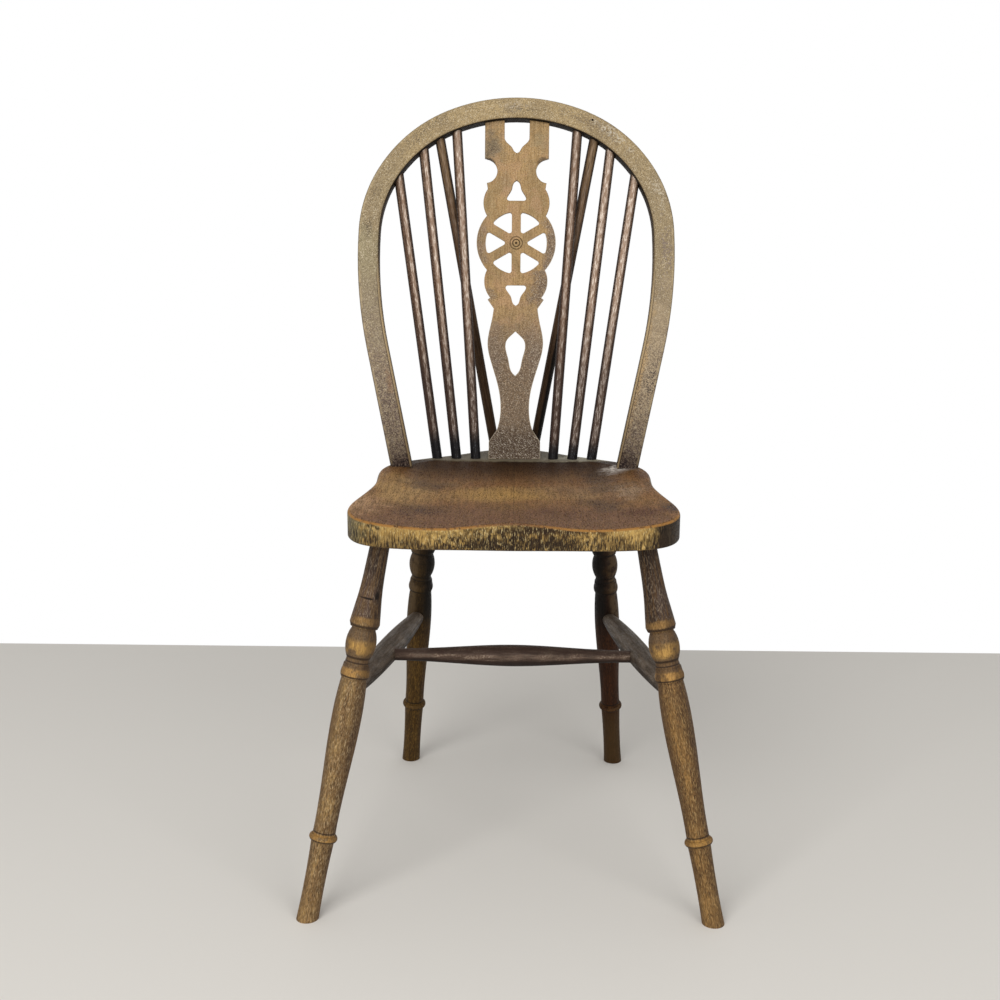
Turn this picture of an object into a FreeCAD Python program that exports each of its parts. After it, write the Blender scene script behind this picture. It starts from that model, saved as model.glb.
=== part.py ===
import FreeCAD, Part
import math
import os

from FreeCAD import Vector

# Wheelback chair, in millimetres. Z is up and the floor is Z = 0.
# The front of the chair faces -Y, and the origin is midway between the four feet.
# Left is the -X side.

# Joints
glue_fit = 0.15             # room round a tenon in its socket, on the radius
socket_end_gap = 0.3        # room past the end of a tenon in a blind socket

# Feet and legs
foot_spread_front = 451.4   # between the centres of the front feet
foot_spread_rear = 288.0    # between the centres of the rear feet
foot_spread_depth = 439.4   # from the front feet to the rear feet
leg_top_spread_front = 286.8
leg_top_spread_rear = 226.2
front_leg_set_back = 52.0   # from the seat's front edge to the front legs, at the seat's underside
rear_leg_set_back = 337.0
leg_tenon_length = 17.0

# Turning pattern of a leg: height along the leg from the floor
ankle_height = 34.0
foot_ring_height = 94.5
shaft_swell_height = 246.0  # where the shaft is thickest
collar_height = 283.0
ball_height = 316.5
vase_edge_height = 339.5

# Turning pattern of a leg: diameters
foot_diameter = 24.6
ankle_diameter = 23.2
below_foot_ring_diameter = 25.6
foot_ring_diameter = 31.6
above_foot_ring_diameter = 25.4
shaft_diameter = 32.6
shaft_top_diameter = 28.2
collar_diameter = 32.4
neck_diameter = 25.6
ball_diameter = 33.8
groove_diameter = 26.4
vase_edge_diameter = 33.4
leg_top_diameter = 21.6
vase_waist = [(0.16, 30.3), (0.40, 25.6), (0.68, 23.1)]  # share of the way up the vase, diameter
foot_ring_width = 7.0
foot_ring_round = 2.1
collar_lip_width = 10.0     # the rounded lip at the bottom of the collar
collar_lip_round = 1.0
collar_flare = 10.5         # the slope above the lip, with a small step halfway
collar_step = 0.7
ball_stem = 1.5             # the straight bit between collar and ball
vase_bevel_width = 4.5      # under the vase's edge
vase_bevel_depth = 1.5

# Seat
seat_height = 458.0         # floor to the flat back platform
seat_thickness = 34.0
seat_width = 362.0          # at the front corners
waist_width = 326.0         # at the middle of the sides
seat_front_y = -212.0
corner_depth = 58.0         # front edge to the widest place
front_straight_width = 250.0
front_bulge = 5.0           # the front edge is this much further forward at the middle
waist_depth = 185.0         # front edge to the narrowest place
hip_width = 320.5           # at the feet of the bow
hip_depth = 272.0
tail_width = 88.0           # bobtail, where it begins to round off
tail_depth = 380.0          # front edge to that place
seat_depth = 394.0          # front edge to the end of the bobtail
dish_depth = 10.0
dish_ramp = 75.0            # length of the slope in front of the platform
pommel_drop = 4.0           # front edge below the platform, at the middle
thigh_drop = 10.2           # the same in the two hollows
corner_drop = 6.0           # the same at the corners
thigh_hollow_spacing = 164.0
dish_crease_depth = 318.0   # front edge to the front of the platform
crease_bend = 6             # how suddenly the crease turns forward at the bow's feet
dish_floor_share = 0.55     # share of the half width where the dish begins to rise to its rim
dish_rim_share = 1.02       # and where it has risen to the platform's height
front_blend_share = 0.85    # share of the waist depth over which hollows turn into dish
seat_top_round = 4.0
front_curve_share = 0.75    # the bulge that is left halfway to the corner
corner_curve_shares = (0.27, 0.33)     # rounding of the corner, as shares of its depth
side_curve_share = 0.47     # where the side is halfway in from corner to waist
# Curve from hip to tail: share of the way in, share of the way back
back_curve_shares = [(0.09, 0.21), (0.29, 0.42), (0.61, 0.66), (0.81, 0.82)]
tail_curve_shares = (0.55, 0.78)       # half width and depth of a point on the bobtail's rounding
seat_bottom_round = 2.5

# Dowels in the glue line of the seat
dowel_diameter = 8.0
dowel_length = 50.0
dowel_setbacks = [60.0, 165.0, 270.0]
dowel_height = 11.0         # above the seat's underside

# Bow
bow_width = 26.0            # seen from the front
bow_thickness = 26.0
bow_edge_round = 4.5
bow_lean = 11.8             # degrees back from upright
bow_set_back = 282.8        # seat's front edge to the middle of the bow foot, at the platform
bow_rise = 454.4            # along the lean, from the platform to the top of its middle plane
crown_radius = 230.0
crown_half_angle = 21.9
shoulder_radius = 180.0
shoulder_angle = 36.8
haunch_radius = 159.0
haunch_angle = 28.0
side_radius = 558.0
side_angle = 15.2
bow_tenon_diameter = 18.0

# Wedges in the bow's tenons
wedge_length = 19.0
wedge_thick_end = 2.6
wedge_thin_end = 0.8

# Spindles and braces
spindle_set_back = 329.3    # seat's front edge to the row of spindles, at the platform
spindle_diameter = 12.6
spindle_socket_depth = 12.0
spindle_names = ["inner", "middle", "outer"]
spindle_base_spacings = [99.0, 148.2, 197.6]
spindle_top_reaches = [77.2, 125.0, 168.8]  # from the bow's top, along its middle
brace_set_back = 375.0
brace_base_spacing = 49.2
brace_diameter = 12.6
brace_top_reach = 102.0
brace_socket_depth = 20.0

# Stretchers
side_stretcher_diameter = 29.0
side_stretcher_end_diameter = 18.0
front_joint_height = 262.0  # along the front leg
rear_joint_height = 236.5   # along the rear leg
cross_stretcher_diameter = 26.0
cross_stretcher_end_diameter = 14.5
cross_joint_share = 0.435   # place along the side stretcher, from its front end

# Splat
splat_thickness = 9.6
splat_tenon_width = 48.0
splat_tenon_length = 17.0
prong_bite = 11.0           # into the bow

# Splat outline, as half widths and heights along the splat from the platform
splat_base_half = 32.8
splat_foot_height = 21.5
splat_flank = [
    (22.6, 36.5), (18.1, 62.0), (19.8, 84.0), (30.2, 121.5),
    (35.1, 146.0), (30.9, 171.0), (27.7, 190.0),
]
nib_tip = (35.4, 201.0)
nib_root = (32.4, 203.5)
lower_lobe = (39.8, 223.0)
hub_height = 271.6
wheel_radius = 49.6
lower_cusp_half = 36.5
upper_cusp_half = 36.7
upper_lobe = (41.2, 323.5)
lobe_top = (36.0, 337.5)
bite_tip = (37.2, 345.0)
bite_deepest = (24.2, 359.5)
bite_end = (33.6, 373.3)
prong_foot = (39.8, 375.2)
prong_inner_half = 15.6
prong_outer_half = 39.8
prong_notch = [(15.4, 399.0), (12.8, 394.6), (5.8, 387.8), (3.9, 384.3)]
prong_notch_bottom = 381.6

# Piercings of the splat
wheel_piercing_radius = 38.4
spoke_width = 11.3
spoke_count = 6
sector_round = 2.9
hub_groove_radii = [7.7, 4.4]
hub_groove_width = 1.3
hub_dimple_radius = 1.1
upper_bell = [(9.2, 323.4), (12.0, 325.8), (10.6, 329.8), (5.8, 338.0), (4.3, 344.2), (0.0, 348.3)]
lower_bell = [(10.6, 219.0), (12.9, 216.4), (11.2, 212.2), (5.6, 203.6), (4.0, 197.6), (0.0, 193.7)]
teardrop = [
    (0.0, 161.3), (5.7, 156.0), (11.3, 149.2), (12.5, 143.0),
    (8.7, 126.0), (5.6, 112.4), (0.0, 105.5),
]

# Worked out from the sizes above
seat_underside = seat_height - seat_thickness
sides = {"left": -1, "right": 1}


def seat_y(set_back):
    return seat_front_y + set_back


def mirrored(shape):
    return shape.mirror(Vector(0, 0, 0), Vector(1, 0, 0))


def side_of(side, shape):
    """Shapes are modelled on the right, and mirrored for the left."""
    return shape if side == "right" else mirrored(shape)


def save(node, shape):
    shape.exportStep(os.path.join("parts", node + ".step"))


def line(a, b):
    return Part.LineSegment(a, b).toShape()


def arc(a, b, c):
    return Part.Arc(a, b, c).toShape()


def spline(points, start_tangent=None, end_tangent=None):
    curve = Part.BSplineCurve()
    if start_tangent and end_tangent:
        curve.interpolate(Points=points, InitialTangent=start_tangent, FinalTangent=end_tangent)
    else:
        curve.interpolate(Points=points)
    return curve.toShape()


def face_of(edges):
    return Part.Face(Part.Wire(Part.__sortEdges__(edges)))


def rod(start, end, radius):
    """A round bar between two points."""
    axis = end - start
    return Part.makeCylinder(radius, axis.Length, start, axis)


def along(start, end, distance):
    direction = end - start
    direction.normalize()
    return start + direction * distance


def turned(edges, start, end):
    """Turns a profile drawn in the XZ plane round Z, then lays that axis from start towards end."""
    solid = face_of(edges).revolve(Vector(0, 0, 0), Vector(0, 0, 1), 360)
    solid.Placement = FreeCAD.Placement(start, FreeCAD.Rotation(Vector(0, 0, 1), end - start))
    return solid


def leaning(shape, set_back, lean):
    """Stands a flat shape up: its Y runs up the back, its Z comes forward."""
    shape = shape.copy()
    turn = FreeCAD.Rotation(Vector(1, 0, 0), 90 - lean)
    stand = FreeCAD.Placement(Vector(0, seat_y(set_back), seat_height), turn)
    shape.Placement = stand.multiply(shape.Placement)
    return shape


def leaning_point(x, rise, set_back, lean):
    turn = FreeCAD.Rotation(Vector(1, 0, 0), 90 - lean)
    return turn.multVec(Vector(x, rise, 0)) + Vector(0, seat_y(set_back), seat_height)


def slab(low_z, high_z):
    """All the space between two heights."""
    reach = 2 * seat_width + 2 * foot_spread_depth
    return Part.makeBox(2 * reach, 2 * reach, high_z - low_z, Vector(-reach, -reach, low_z))


# Bow: a chain of arcs from the top down, then a straight leg

def bow_arcs():
    return [
        (crown_radius, math.radians(crown_half_angle)),
        (shoulder_radius, math.radians(shoulder_angle)),
        (haunch_radius, math.radians(haunch_angle)),
        (side_radius, math.radians(side_angle)),
    ]


def bow_line(inset):
    """The arcs of half a bow, this far inside its outer edge: centre, radius, start and end of each."""
    centre_x = 0.0
    centre_y = bow_rise - crown_radius
    heading = 0.0
    last_radius = crown_radius
    arcs = []
    for radius, sweep in bow_arcs():
        centre_x += (last_radius - radius) * math.sin(heading)
        centre_y += (last_radius - radius) * math.cos(heading)
        arcs.append((centre_x, centre_y, radius - inset, heading, heading + sweep))
        heading += sweep
        last_radius = radius
    return arcs


def arc_point(part, angle):
    centre_x, centre_y, radius, start, end = part
    return Vector(centre_x + radius * math.sin(angle), centre_y + radius * math.cos(angle), 0)


def bow_leg_end(inset, drop):
    """The lower end of the straight leg, at a given drop below the platform."""
    last = bow_line(inset)[-1]
    start = arc_point(last, last[4])
    length = (start.y + drop) / math.sin(last[4])
    return start, start + Vector(math.cos(last[4]), -math.sin(last[4]), 0) * length


def bow_half_edges(inset, drop):
    edges = []
    for part in bow_line(inset):
        middle = (part[3] + part[4]) / 2
        edges.append(arc(arc_point(part, part[3]), arc_point(part, middle), arc_point(part, part[4])))
    edges.append(line(*bow_leg_end(inset, drop)))
    return edges


def bow_middle_point(reach):
    """The point on the bow's middle line at this distance from the top, in the chair's own space."""
    left = reach
    for part in bow_line(bow_width / 2):
        length = part[2] * (part[4] - part[3])
        if left <= length:
            spot = arc_point(part, part[3] + left / part[2])
            return leaning_point(spot.x, spot.y, bow_set_back, bow_lean)
        left -= length
    start, end = bow_leg_end(bow_width / 2, 0)
    spot = along(start, end, left)
    return leaning_point(spot.x, spot.y, bow_set_back, bow_lean)


def bow_band():
    drop = bow_thickness
    edges = bow_half_edges(0, drop) + bow_half_edges(bow_width, drop)
    edges += [mirrored(edge) for edge in edges]
    for side in sides.values():
        ends = [bow_leg_end(inset, drop)[1] for inset in (0, bow_width)]
        edges.append(line(*[Vector(side * end.x, end.y, 0) for end in ends]))
    band = face_of(edges).extrude(Vector(0, 0, bow_thickness))
    band.translate(Vector(0, 0, -bow_thickness / 2))
    return band


def long_edges(band):
    """The edges that run along the bow, and not across its ends or its thickness."""
    half = bow_thickness / 2
    chosen = []
    for edge in band.Edges:
        box = edge.BoundBox
        across_end = abs(box.YMax - box.YMin) < bow_width * 0.3 and box.YMin < 0
        if box.ZLength < half and not across_end:
            chosen.append(edge)
    return chosen


def bow_foot_axis():
    """The middle line of the right foot: its place on the platform, and where it leaves the seat below."""
    start, end = bow_leg_end(bow_width / 2, 0)
    top = leaning_point(end.x, end.y, bow_set_back, bow_lean)
    above = leaning_point(start.x, start.y, bow_set_back, bow_lean)
    direction = top - above
    return top, top + direction * (seat_thickness / abs(direction.z))


def bow_tenon(room):
    """The round tenon of the right foot, through the seat."""
    top, bottom = bow_foot_axis()
    overrun = bow_tenon_diameter
    start = along(top, bottom, -bow_thickness / 2)
    end = along(bottom, top, -overrun)
    return rod(start, end, bow_tenon_diameter / 2 + room)


def bow_wedge():
    """The wedge in the right tenon, tapering upwards, flush with the underside of the seat."""
    top, bottom = bow_foot_axis()
    half = bow_tenon_diameter
    growth = (wedge_thick_end - wedge_thin_end) / 2
    low = wedge_thick_end / 2 + growth
    high = wedge_thin_end / 2
    corners = [
        Vector(-high, 0, wedge_length),
        Vector(high, 0, wedge_length),
        Vector(low, 0, -wedge_length),
        Vector(-low, 0, -wedge_length),
    ]
    edges = [line(corners[i], corners[i - 1]) for i in range(4)]
    wedge = face_of(edges).extrude(Vector(0, 2 * half, 0))
    wedge.translate(Vector(0, -half, 0))
    wedge.Placement = FreeCAD.Placement(bottom, FreeCAD.Rotation(Vector(0, 0, 1), top - bottom))
    return wedge.common(bow_tenon(0)).common(slab(seat_underside, seat_height))


def back_bow():
    band = bow_band()
    band = band.makeFillet(bow_edge_round, long_edges(band))
    bow = leaning(band, bow_set_back, bow_lean)
    bow = bow.common(slab(seat_height, seat_height + 2 * bow_rise))
    tenon = bow_tenon(0).common(slab(seat_underside, seat_height))
    tenon = tenon.cut(bow_wedge())
    bow = bow.fuse([tenon, mirrored(tenon)])
    sockets = [side_of(side, spindle(name, glue_fit)) for side in sides for name in spindle_names]
    sockets += [side_of(side, brace(glue_fit)) for side in sides]
    sockets += [prong_room(side) for side in sides.values()]
    return bow.cut(sockets).removeSplitter()


# Spindles and braces

def stick_line(kind):
    """Middle line of a stick on the right: its base on the platform and its end inside the bow."""
    if kind == "brace":
        base = Vector(brace_base_spacing / 2, seat_y(brace_set_back), seat_height)
        return base, bow_middle_point(brace_top_reach)
    place = spindle_names.index(kind)
    base = Vector(spindle_base_spacings[place] / 2, seat_y(spindle_set_back), seat_height)
    return base, bow_middle_point(spindle_top_reaches[place])


def stick(base, top, diameter, socket_depth, room):
    """A round stick from the end of its socket in the seat to the middle of the bow."""
    gap = socket_end_gap if room else 0
    return rod(along(base, top, -socket_depth - gap), along(top, base, -gap), diameter / 2 + room)


def spindle(name, room=0.0):
    base, top = stick_line(name)
    return stick(base, top, spindle_diameter, spindle_socket_depth, room)


def brace(room=0.0):
    base, top = stick_line("brace")
    return stick(base, top, brace_diameter, brace_socket_depth, room)


# Splat

def splat_lean():
    """The splat runs from the spindle row on the platform to the middle of the bow's top."""
    top = bow_middle_point(0)
    return math.degrees(math.atan2(top.y - seat_y(spindle_set_back), top.z - seat_height))


def splat_length():
    """Along the splat, from the platform to the underside of the bow's top."""
    top = bow_middle_point(0)
    return (top - Vector(0, seat_y(spindle_set_back), seat_height)).Length - bow_width / 2


def flat(point):
    return Vector(point[0], point[1], 0)


def wheel_point(half):
    """The point on the wheel's rim at this half width, above the hub."""
    return math.sqrt(wheel_radius ** 2 - half ** 2)


def splat_side(top):
    """Right half of the outline, from the foot up to the prong."""
    foot = Vector(splat_base_half, 0, 0)
    foot_top = Vector(splat_base_half, splat_foot_height, 0)
    flank = [flat(point) for point in splat_flank]
    lower_cusp = Vector(lower_cusp_half, hub_height - wheel_point(lower_cusp_half), 0)
    upper_cusp = Vector(upper_cusp_half, hub_height + wheel_point(upper_cusp_half), 0)
    rim = Vector(wheel_radius, hub_height, 0)
    return [
        line(Vector(0, 0, 0), foot),
        line(foot, foot_top),
        line(foot_top, flank[0]),
        spline(flank),
        line(flank[-1], flat(nib_tip)),
        line(flat(nib_tip), flat(nib_root)),
        arc(flat(nib_root), flat(lower_lobe), lower_cusp),
        arc(lower_cusp, rim, upper_cusp),
        arc(upper_cusp, flat(upper_lobe), flat(lobe_top)),
        line(flat(lobe_top), flat(bite_tip)),
        arc(flat(bite_tip), flat(bite_deepest), flat(bite_end)),
        line(flat(bite_end), flat(prong_foot)),
        line(flat(prong_foot), Vector(prong_outer_half, top, 0)),
        line(Vector(prong_outer_half, top, 0), Vector(prong_inner_half, top, 0)),
        line(Vector(prong_inner_half, top, 0), flat(prong_notch[0])),
        spline([flat(point) for point in prong_notch] + [Vector(0, prong_notch_bottom, 0)]),
    ]


def plate(edges, thickness):
    """A flat board with this outline, centred on its own plane."""
    board = face_of(edges).extrude(Vector(0, 0, thickness))
    board.translate(Vector(0, 0, -thickness / 2))
    return board


def both_sides(edges):
    return edges + [mirrored(edge) for edge in edges]


def pierced(points):
    """A hole with a rounded outline given by its right half."""
    half = [spline([flat(point) for point in points])]
    start = flat(points[0])
    if start.x > 0:
        half.append(line(Vector(0, start.y, 0), start))
    return plate(both_sides(half), 2 * splat_thickness)


def wheel_sector(angle):
    """The piercing between two spokes, with rounded corners."""
    half_gap = math.pi / spoke_count
    tip = spoke_width / 2 / math.sin(half_gap)
    edge_angle = half_gap - math.asin(spoke_width / 2 / wheel_piercing_radius)
    inner = Vector(tip, 0, 0)
    upper = Vector(math.cos(edge_angle), math.sin(edge_angle), 0) * wheel_piercing_radius
    lower = Vector(upper.x, -upper.y, 0)
    outer = Vector(wheel_piercing_radius, 0, 0)
    sector = plate([line(inner, upper), arc(upper, outer, lower), line(lower, inner)], 2 * splat_thickness)
    upright = [edge for edge in sector.Edges if edge.BoundBox.ZLength > splat_thickness]
    sector = sector.makeFillet(sector_round, upright)
    sector.rotate(Vector(0, 0, 0), Vector(0, 0, 1), angle)
    sector.translate(Vector(0, hub_height, 0))
    return sector


def hub_turning():
    """The two turned grooves and the dimple on the front of the hub."""
    face = splat_thickness / 2
    cuts = []
    for radius in hub_groove_radii:
        ring = Part.makeTorus(radius, hub_groove_width / 2, Vector(0, hub_height, face))
        cuts.append(ring)
    cuts.append(Part.makeSphere(hub_dimple_radius, Vector(0, hub_height, face)))
    return cuts


def splat_board():
    top = splat_length() + prong_bite
    board = plate(both_sides(splat_side(top)), splat_thickness)
    sector_step = 360.0 / spoke_count
    holes = [wheel_sector(step * sector_step) for step in range(spoke_count)]
    holes += [pierced(upper_bell), pierced(lower_bell), pierced(teardrop)]
    return board.cut(holes + hub_turning())


def splat_tenon(room):
    """The tongue of the splat in the seat, straight below its foot."""
    width = splat_tenon_width + 2 * room
    thickness = splat_thickness + 2 * room
    length = splat_tenon_length + (socket_end_gap if room else 0)
    rise = splat_thickness
    return Part.makeBox(width, length + rise, thickness, Vector(-width / 2, -length, -thickness / 2))


def prong_room(side):
    """The mortise in the bow for one prong."""
    room = glue_fit
    width = prong_outer_half - prong_inner_half + 2 * room
    thickness = splat_thickness + 2 * room
    low = splat_length() - bow_width
    height = splat_length() + prong_bite + socket_end_gap - low
    left = prong_inner_half - room if side > 0 else -prong_outer_half - room
    box = Part.makeBox(width, height, thickness, Vector(left, low, -thickness / 2))
    return leaning(box, spindle_set_back, splat_lean())


def wheel_splat():
    upright = leaning(splat_board(), spindle_set_back, splat_lean())
    upright = upright.common(slab(seat_height, seat_height + 2 * bow_rise))
    tongue = leaning(splat_tenon(0), spindle_set_back, splat_lean())
    return upright.fuse(tongue).removeSplitter()


def splat_mortise():
    return leaning(splat_tenon(glue_fit), spindle_set_back, splat_lean())


# Legs

def leg_line(which):
    """Middle line of a right leg: its foot on the floor and its place at the seat's underside."""
    if which == "front":
        foot = Vector(foot_spread_front / 2, -foot_spread_depth / 2, 0)
        top = Vector(leg_top_spread_front / 2, seat_y(front_leg_set_back), seat_underside)
        return foot, top
    foot = Vector(foot_spread_rear / 2, foot_spread_depth / 2, 0)
    top = Vector(leg_top_spread_rear / 2, seat_y(rear_leg_set_back), seat_underside)
    return foot, top


def profile_point(diameter, height):
    return Vector(diameter / 2, 0, height)


def leg_foot_edges(below, ring_low, ring_high):
    """From the middle below the floor, up the ankle and over the foot ring."""
    foot = profile_point(foot_diameter, 0)
    foot_below = profile_point(foot_diameter, below)
    under_ring = profile_point(below_foot_ring_diameter, ring_low)
    rim_diameter = foot_ring_diameter - 2 * foot_ring_round
    rim_low = profile_point(rim_diameter, ring_low)
    rim_high = profile_point(rim_diameter, ring_high)
    return [
        line(Vector(0, 0, below), foot_below),
        line(foot_below, foot),
        spline([foot, profile_point(ankle_diameter, ankle_height), under_ring]),
        line(under_ring, rim_low),
        arc(rim_low, profile_point(foot_ring_diameter, foot_ring_height), rim_high),
        line(rim_high, profile_point(above_foot_ring_diameter, ring_high)),
    ]


def leg_shaft_edges(ring_high, collar_low):
    middle_diameter = (above_foot_ring_diameter + shaft_diameter) / 2
    middle_height = (ring_high + shaft_swell_height) / 2
    return [
        spline([
            profile_point(above_foot_ring_diameter, ring_high),
            profile_point(middle_diameter, middle_height),
            profile_point(shaft_diameter, shaft_swell_height),
            profile_point(shaft_top_diameter, collar_low),
        ]),
    ]


def leg_collar_edges(collar_low, collar_high, collar_top):
    """A rounded lip, then a slope up to the neck with a small step halfway."""
    lip_diameter = collar_diameter - 2 * collar_lip_round
    lip_low = profile_point(lip_diameter, collar_low)
    lip_high = profile_point(lip_diameter, collar_high)
    slope_diameter = (collar_diameter + neck_diameter) / 2
    slope_top = profile_point(slope_diameter, (collar_high + collar_top) / 2)
    step = profile_point(slope_diameter - 2 * collar_step, (collar_high + collar_top) / 2)
    return [
        line(profile_point(shaft_top_diameter, collar_low), lip_low),
        arc(lip_low, profile_point(collar_diameter, collar_height), lip_high),
        line(lip_high, slope_top),
        line(slope_top, step),
        line(step, profile_point(neck_diameter, collar_top)),
    ]


def leg_ball_edges(collar_top, bevel_low):
    """The stem, the ball and the groove above it, up to the bevel of the vase."""
    ball_low = profile_point(neck_diameter, collar_top + ball_stem)
    ball_high = profile_point(groove_diameter, 2 * ball_height - ball_low.z)
    groove = profile_point(groove_diameter, bevel_low)
    return [
        line(profile_point(neck_diameter, collar_top), ball_low),
        arc(ball_low, profile_point(ball_diameter, ball_height), ball_high),
        line(ball_high, groove),
        line(groove, profile_point(vase_edge_diameter - 2 * vase_bevel_depth, bevel_low)),
    ]


def leg_vase_edges(bevel_low, below, length):
    """The bevel, the vase up to the seat, the tenon and the way back down the middle."""
    end = length + leg_tenon_length
    vase_bottom = profile_point(vase_edge_diameter, vase_edge_height)
    vase_top = profile_point(leg_top_diameter, length - leg_top_diameter / 2)
    reach = vase_top.z - vase_edge_height
    waist = [profile_point(diameter, vase_edge_height + reach * share) for share, diameter in vase_waist]
    return [
        line(profile_point(vase_edge_diameter - 2 * vase_bevel_depth, bevel_low), vase_bottom),
        spline([vase_bottom] + waist + [vase_top]),
        line(vase_top, profile_point(leg_top_diameter, end)),
        line(profile_point(leg_top_diameter, end), Vector(0, 0, end)),
        line(Vector(0, 0, end), Vector(0, 0, below)),
    ]


def leg_profile(length):
    """Half of the turning pattern, from below the floor to the end of the tenon."""
    below = -foot_diameter
    ring_low = foot_ring_height - foot_ring_width / 2
    ring_high = foot_ring_height + foot_ring_width / 2
    collar_low = collar_height - collar_lip_width / 2
    collar_high = collar_height + collar_lip_width / 2
    collar_top = collar_high + collar_flare
    bevel_low = vase_edge_height - vase_bevel_width
    edges = leg_foot_edges(below, ring_low, ring_high)
    edges += leg_shaft_edges(ring_high, collar_low)
    edges += leg_collar_edges(collar_low, collar_high, collar_top)
    edges += leg_ball_edges(collar_top, bevel_low)
    edges += leg_vase_edges(bevel_low, below, length)
    return edges


def leg_socket(which):
    """The blind hole in the seat for a right leg."""
    foot, top = leg_line(which)
    radius = leg_top_diameter / 2 + glue_fit
    end = along(top, foot, -leg_tenon_length - socket_end_gap)
    return rod(along(top, foot, leg_top_diameter), end, radius)


def leg(which):
    foot, top = leg_line(which)
    shape = turned(leg_profile((top - foot).Length), foot, top)
    shape = shape.common(slab(0, seat_height))
    return shape.cut(side_stretcher_room(which))


# Stretchers

def side_stretcher_line():
    """Middle line of the right side stretcher, between the middles of the two legs."""
    front_foot, front_top = leg_line("front")
    rear_foot, rear_top = leg_line("rear")
    return along(front_foot, front_top, front_joint_height), along(rear_foot, rear_top, rear_joint_height)


def side_stretcher_room(which):
    """The socket in a right leg for the side stretcher."""
    front, rear = side_stretcher_line()
    here, there = (front, rear) if which == "front" else (rear, front)
    radius = side_stretcher_end_diameter / 2 + glue_fit
    return rod(along(here, there, -socket_end_gap), along(here, there, 2 * shaft_diameter), radius)


def gentle(low, middle, high):
    """A swelling that leaves its two ends level."""
    level = Vector(0, 0, 1)
    return spline([low, middle, high], level, level)


def bar_profile(length, end_diameter, middle_diameter, straight, swelling):
    """Half of a turned bar that swells between its straight ends, with an arc or gently."""
    low = profile_point(end_diameter, straight)
    middle = profile_point(middle_diameter, length / 2)
    high = profile_point(end_diameter, length - straight)
    return [
        line(Vector(0, 0, 0), profile_point(end_diameter, 0)),
        line(profile_point(end_diameter, 0), low),
        swelling(low, middle, high),
        line(high, profile_point(end_diameter, length)),
        line(profile_point(end_diameter, length), Vector(0, 0, length)),
        line(Vector(0, 0, length), Vector(0, 0, 0)),
    ]


def cross_stretcher_end():
    """Where the cross stretcher meets the middle of the right side stretcher."""
    front, rear = side_stretcher_line()
    return front + (rear - front) * cross_joint_share


def side_stretcher():
    front, rear = side_stretcher_line()
    straight = shaft_diameter / 2
    length = (rear - front).Length
    edges = bar_profile(length, side_stretcher_end_diameter, side_stretcher_diameter, straight, arc)
    shape = turned(edges, front, rear)
    end = cross_stretcher_end()
    radius = cross_stretcher_end_diameter / 2 + glue_fit
    socket = rod(end + Vector(socket_end_gap, 0, 0), end - Vector(side_stretcher_diameter, 0, 0), radius)
    return shape.cut(socket)


def cross_stretcher():
    right = cross_stretcher_end()
    left = Vector(-right.x, right.y, right.z)
    straight = side_stretcher_diameter / 2
    edges = bar_profile(2 * right.x, cross_stretcher_end_diameter, cross_stretcher_diameter, straight, gentle)
    return turned(edges, left, right)


# Seat

def smooth_step(value):
    value = min(max(value, 0.0), 1.0)
    return value * value * (3 - 2 * value)


def seat_outline():
    """Right half of the seat from above, from the front edge round to the end of the bobtail."""
    half = seat_width / 2
    hip = hip_width / 2
    tail = tail_width / 2
    corner_start = front_straight_width / 2
    back_run = tail_depth - hip_depth
    back_width = hip - tail
    side_run = waist_depth - corner_depth
    corner_in, corner_back = corner_curve_shares
    points = [
        Vector(0, seat_y(-front_bulge), 0),
        Vector(corner_start / 2, seat_y(-front_bulge * front_curve_share), 0),
        Vector(corner_start, seat_y(0), 0),
        Vector(half - corner_depth * corner_in, seat_y(corner_depth * corner_back), 0),
        Vector(half, seat_y(corner_depth), 0),
        Vector((half + waist_width / 2) / 2, seat_y(corner_depth + side_run * side_curve_share), 0),
        Vector(waist_width / 2, seat_y(waist_depth), 0),
        Vector(hip, seat_y(hip_depth), 0),
    ]
    for inward, backward in back_curve_shares:
        points.append(Vector(hip - back_width * inward, seat_y(hip_depth + back_run * backward), 0))
    points.append(Vector(tail, seat_y(tail_depth), 0))
    tail_run = (seat_depth - tail_depth) * tail_curve_shares[1]
    points.append(Vector(tail * tail_curve_shares[0], seat_y(tail_depth + tail_run), 0))
    points.append(Vector(0, seat_y(seat_depth), 0))
    return spline(points, Vector(1, 0, 0), Vector(-1, 0, 0))


def half_width_at(depth):
    """Rough half width of the seat at this depth, for the shape of the dish."""
    share = smooth_step((depth - corner_depth) / (waist_depth - corner_depth))
    return (seat_width + (waist_width - seat_width) * share) / 2


def crease_at(x):
    """How far behind the front edge the dish ends: straight behind the sitter, forward at the bow's feet."""
    foot = bow_foot_axis()[0]
    at_foot = foot.y - seat_front_y - bow_thickness
    share = min(abs(x) / foot.x, 1.15)
    return dish_crease_depth - (dish_crease_depth - at_foot) * share ** crease_bend


def dish_height(x, depth):
    """Height of the saddled top at this place. Behind the crease it rises clear of the seat."""
    run = (crease_at(x) - depth) / dish_ramp
    ramp = 1 - (1 - min(run, 1.0)) ** 2
    edge = abs(x) / half_width_at(depth)
    hollow = dish_depth * (1 - smooth_step((edge - dish_floor_share) / (dish_rim_share - dish_floor_share)))
    hollow_x = thigh_hollow_spacing / 2
    front_drop = pommel_drop + (thigh_drop - pommel_drop) * smooth_step(abs(x) / hollow_x)
    front_drop -= (thigh_drop - corner_drop) * smooth_step((abs(x) - hollow_x) / (seat_width / 2 - hollow_x))
    front_share = 1 - smooth_step(depth / (waist_depth * front_blend_share))
    drop = hollow * (1 - front_share) + front_drop * front_share
    return seat_height - ramp * drop


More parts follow.
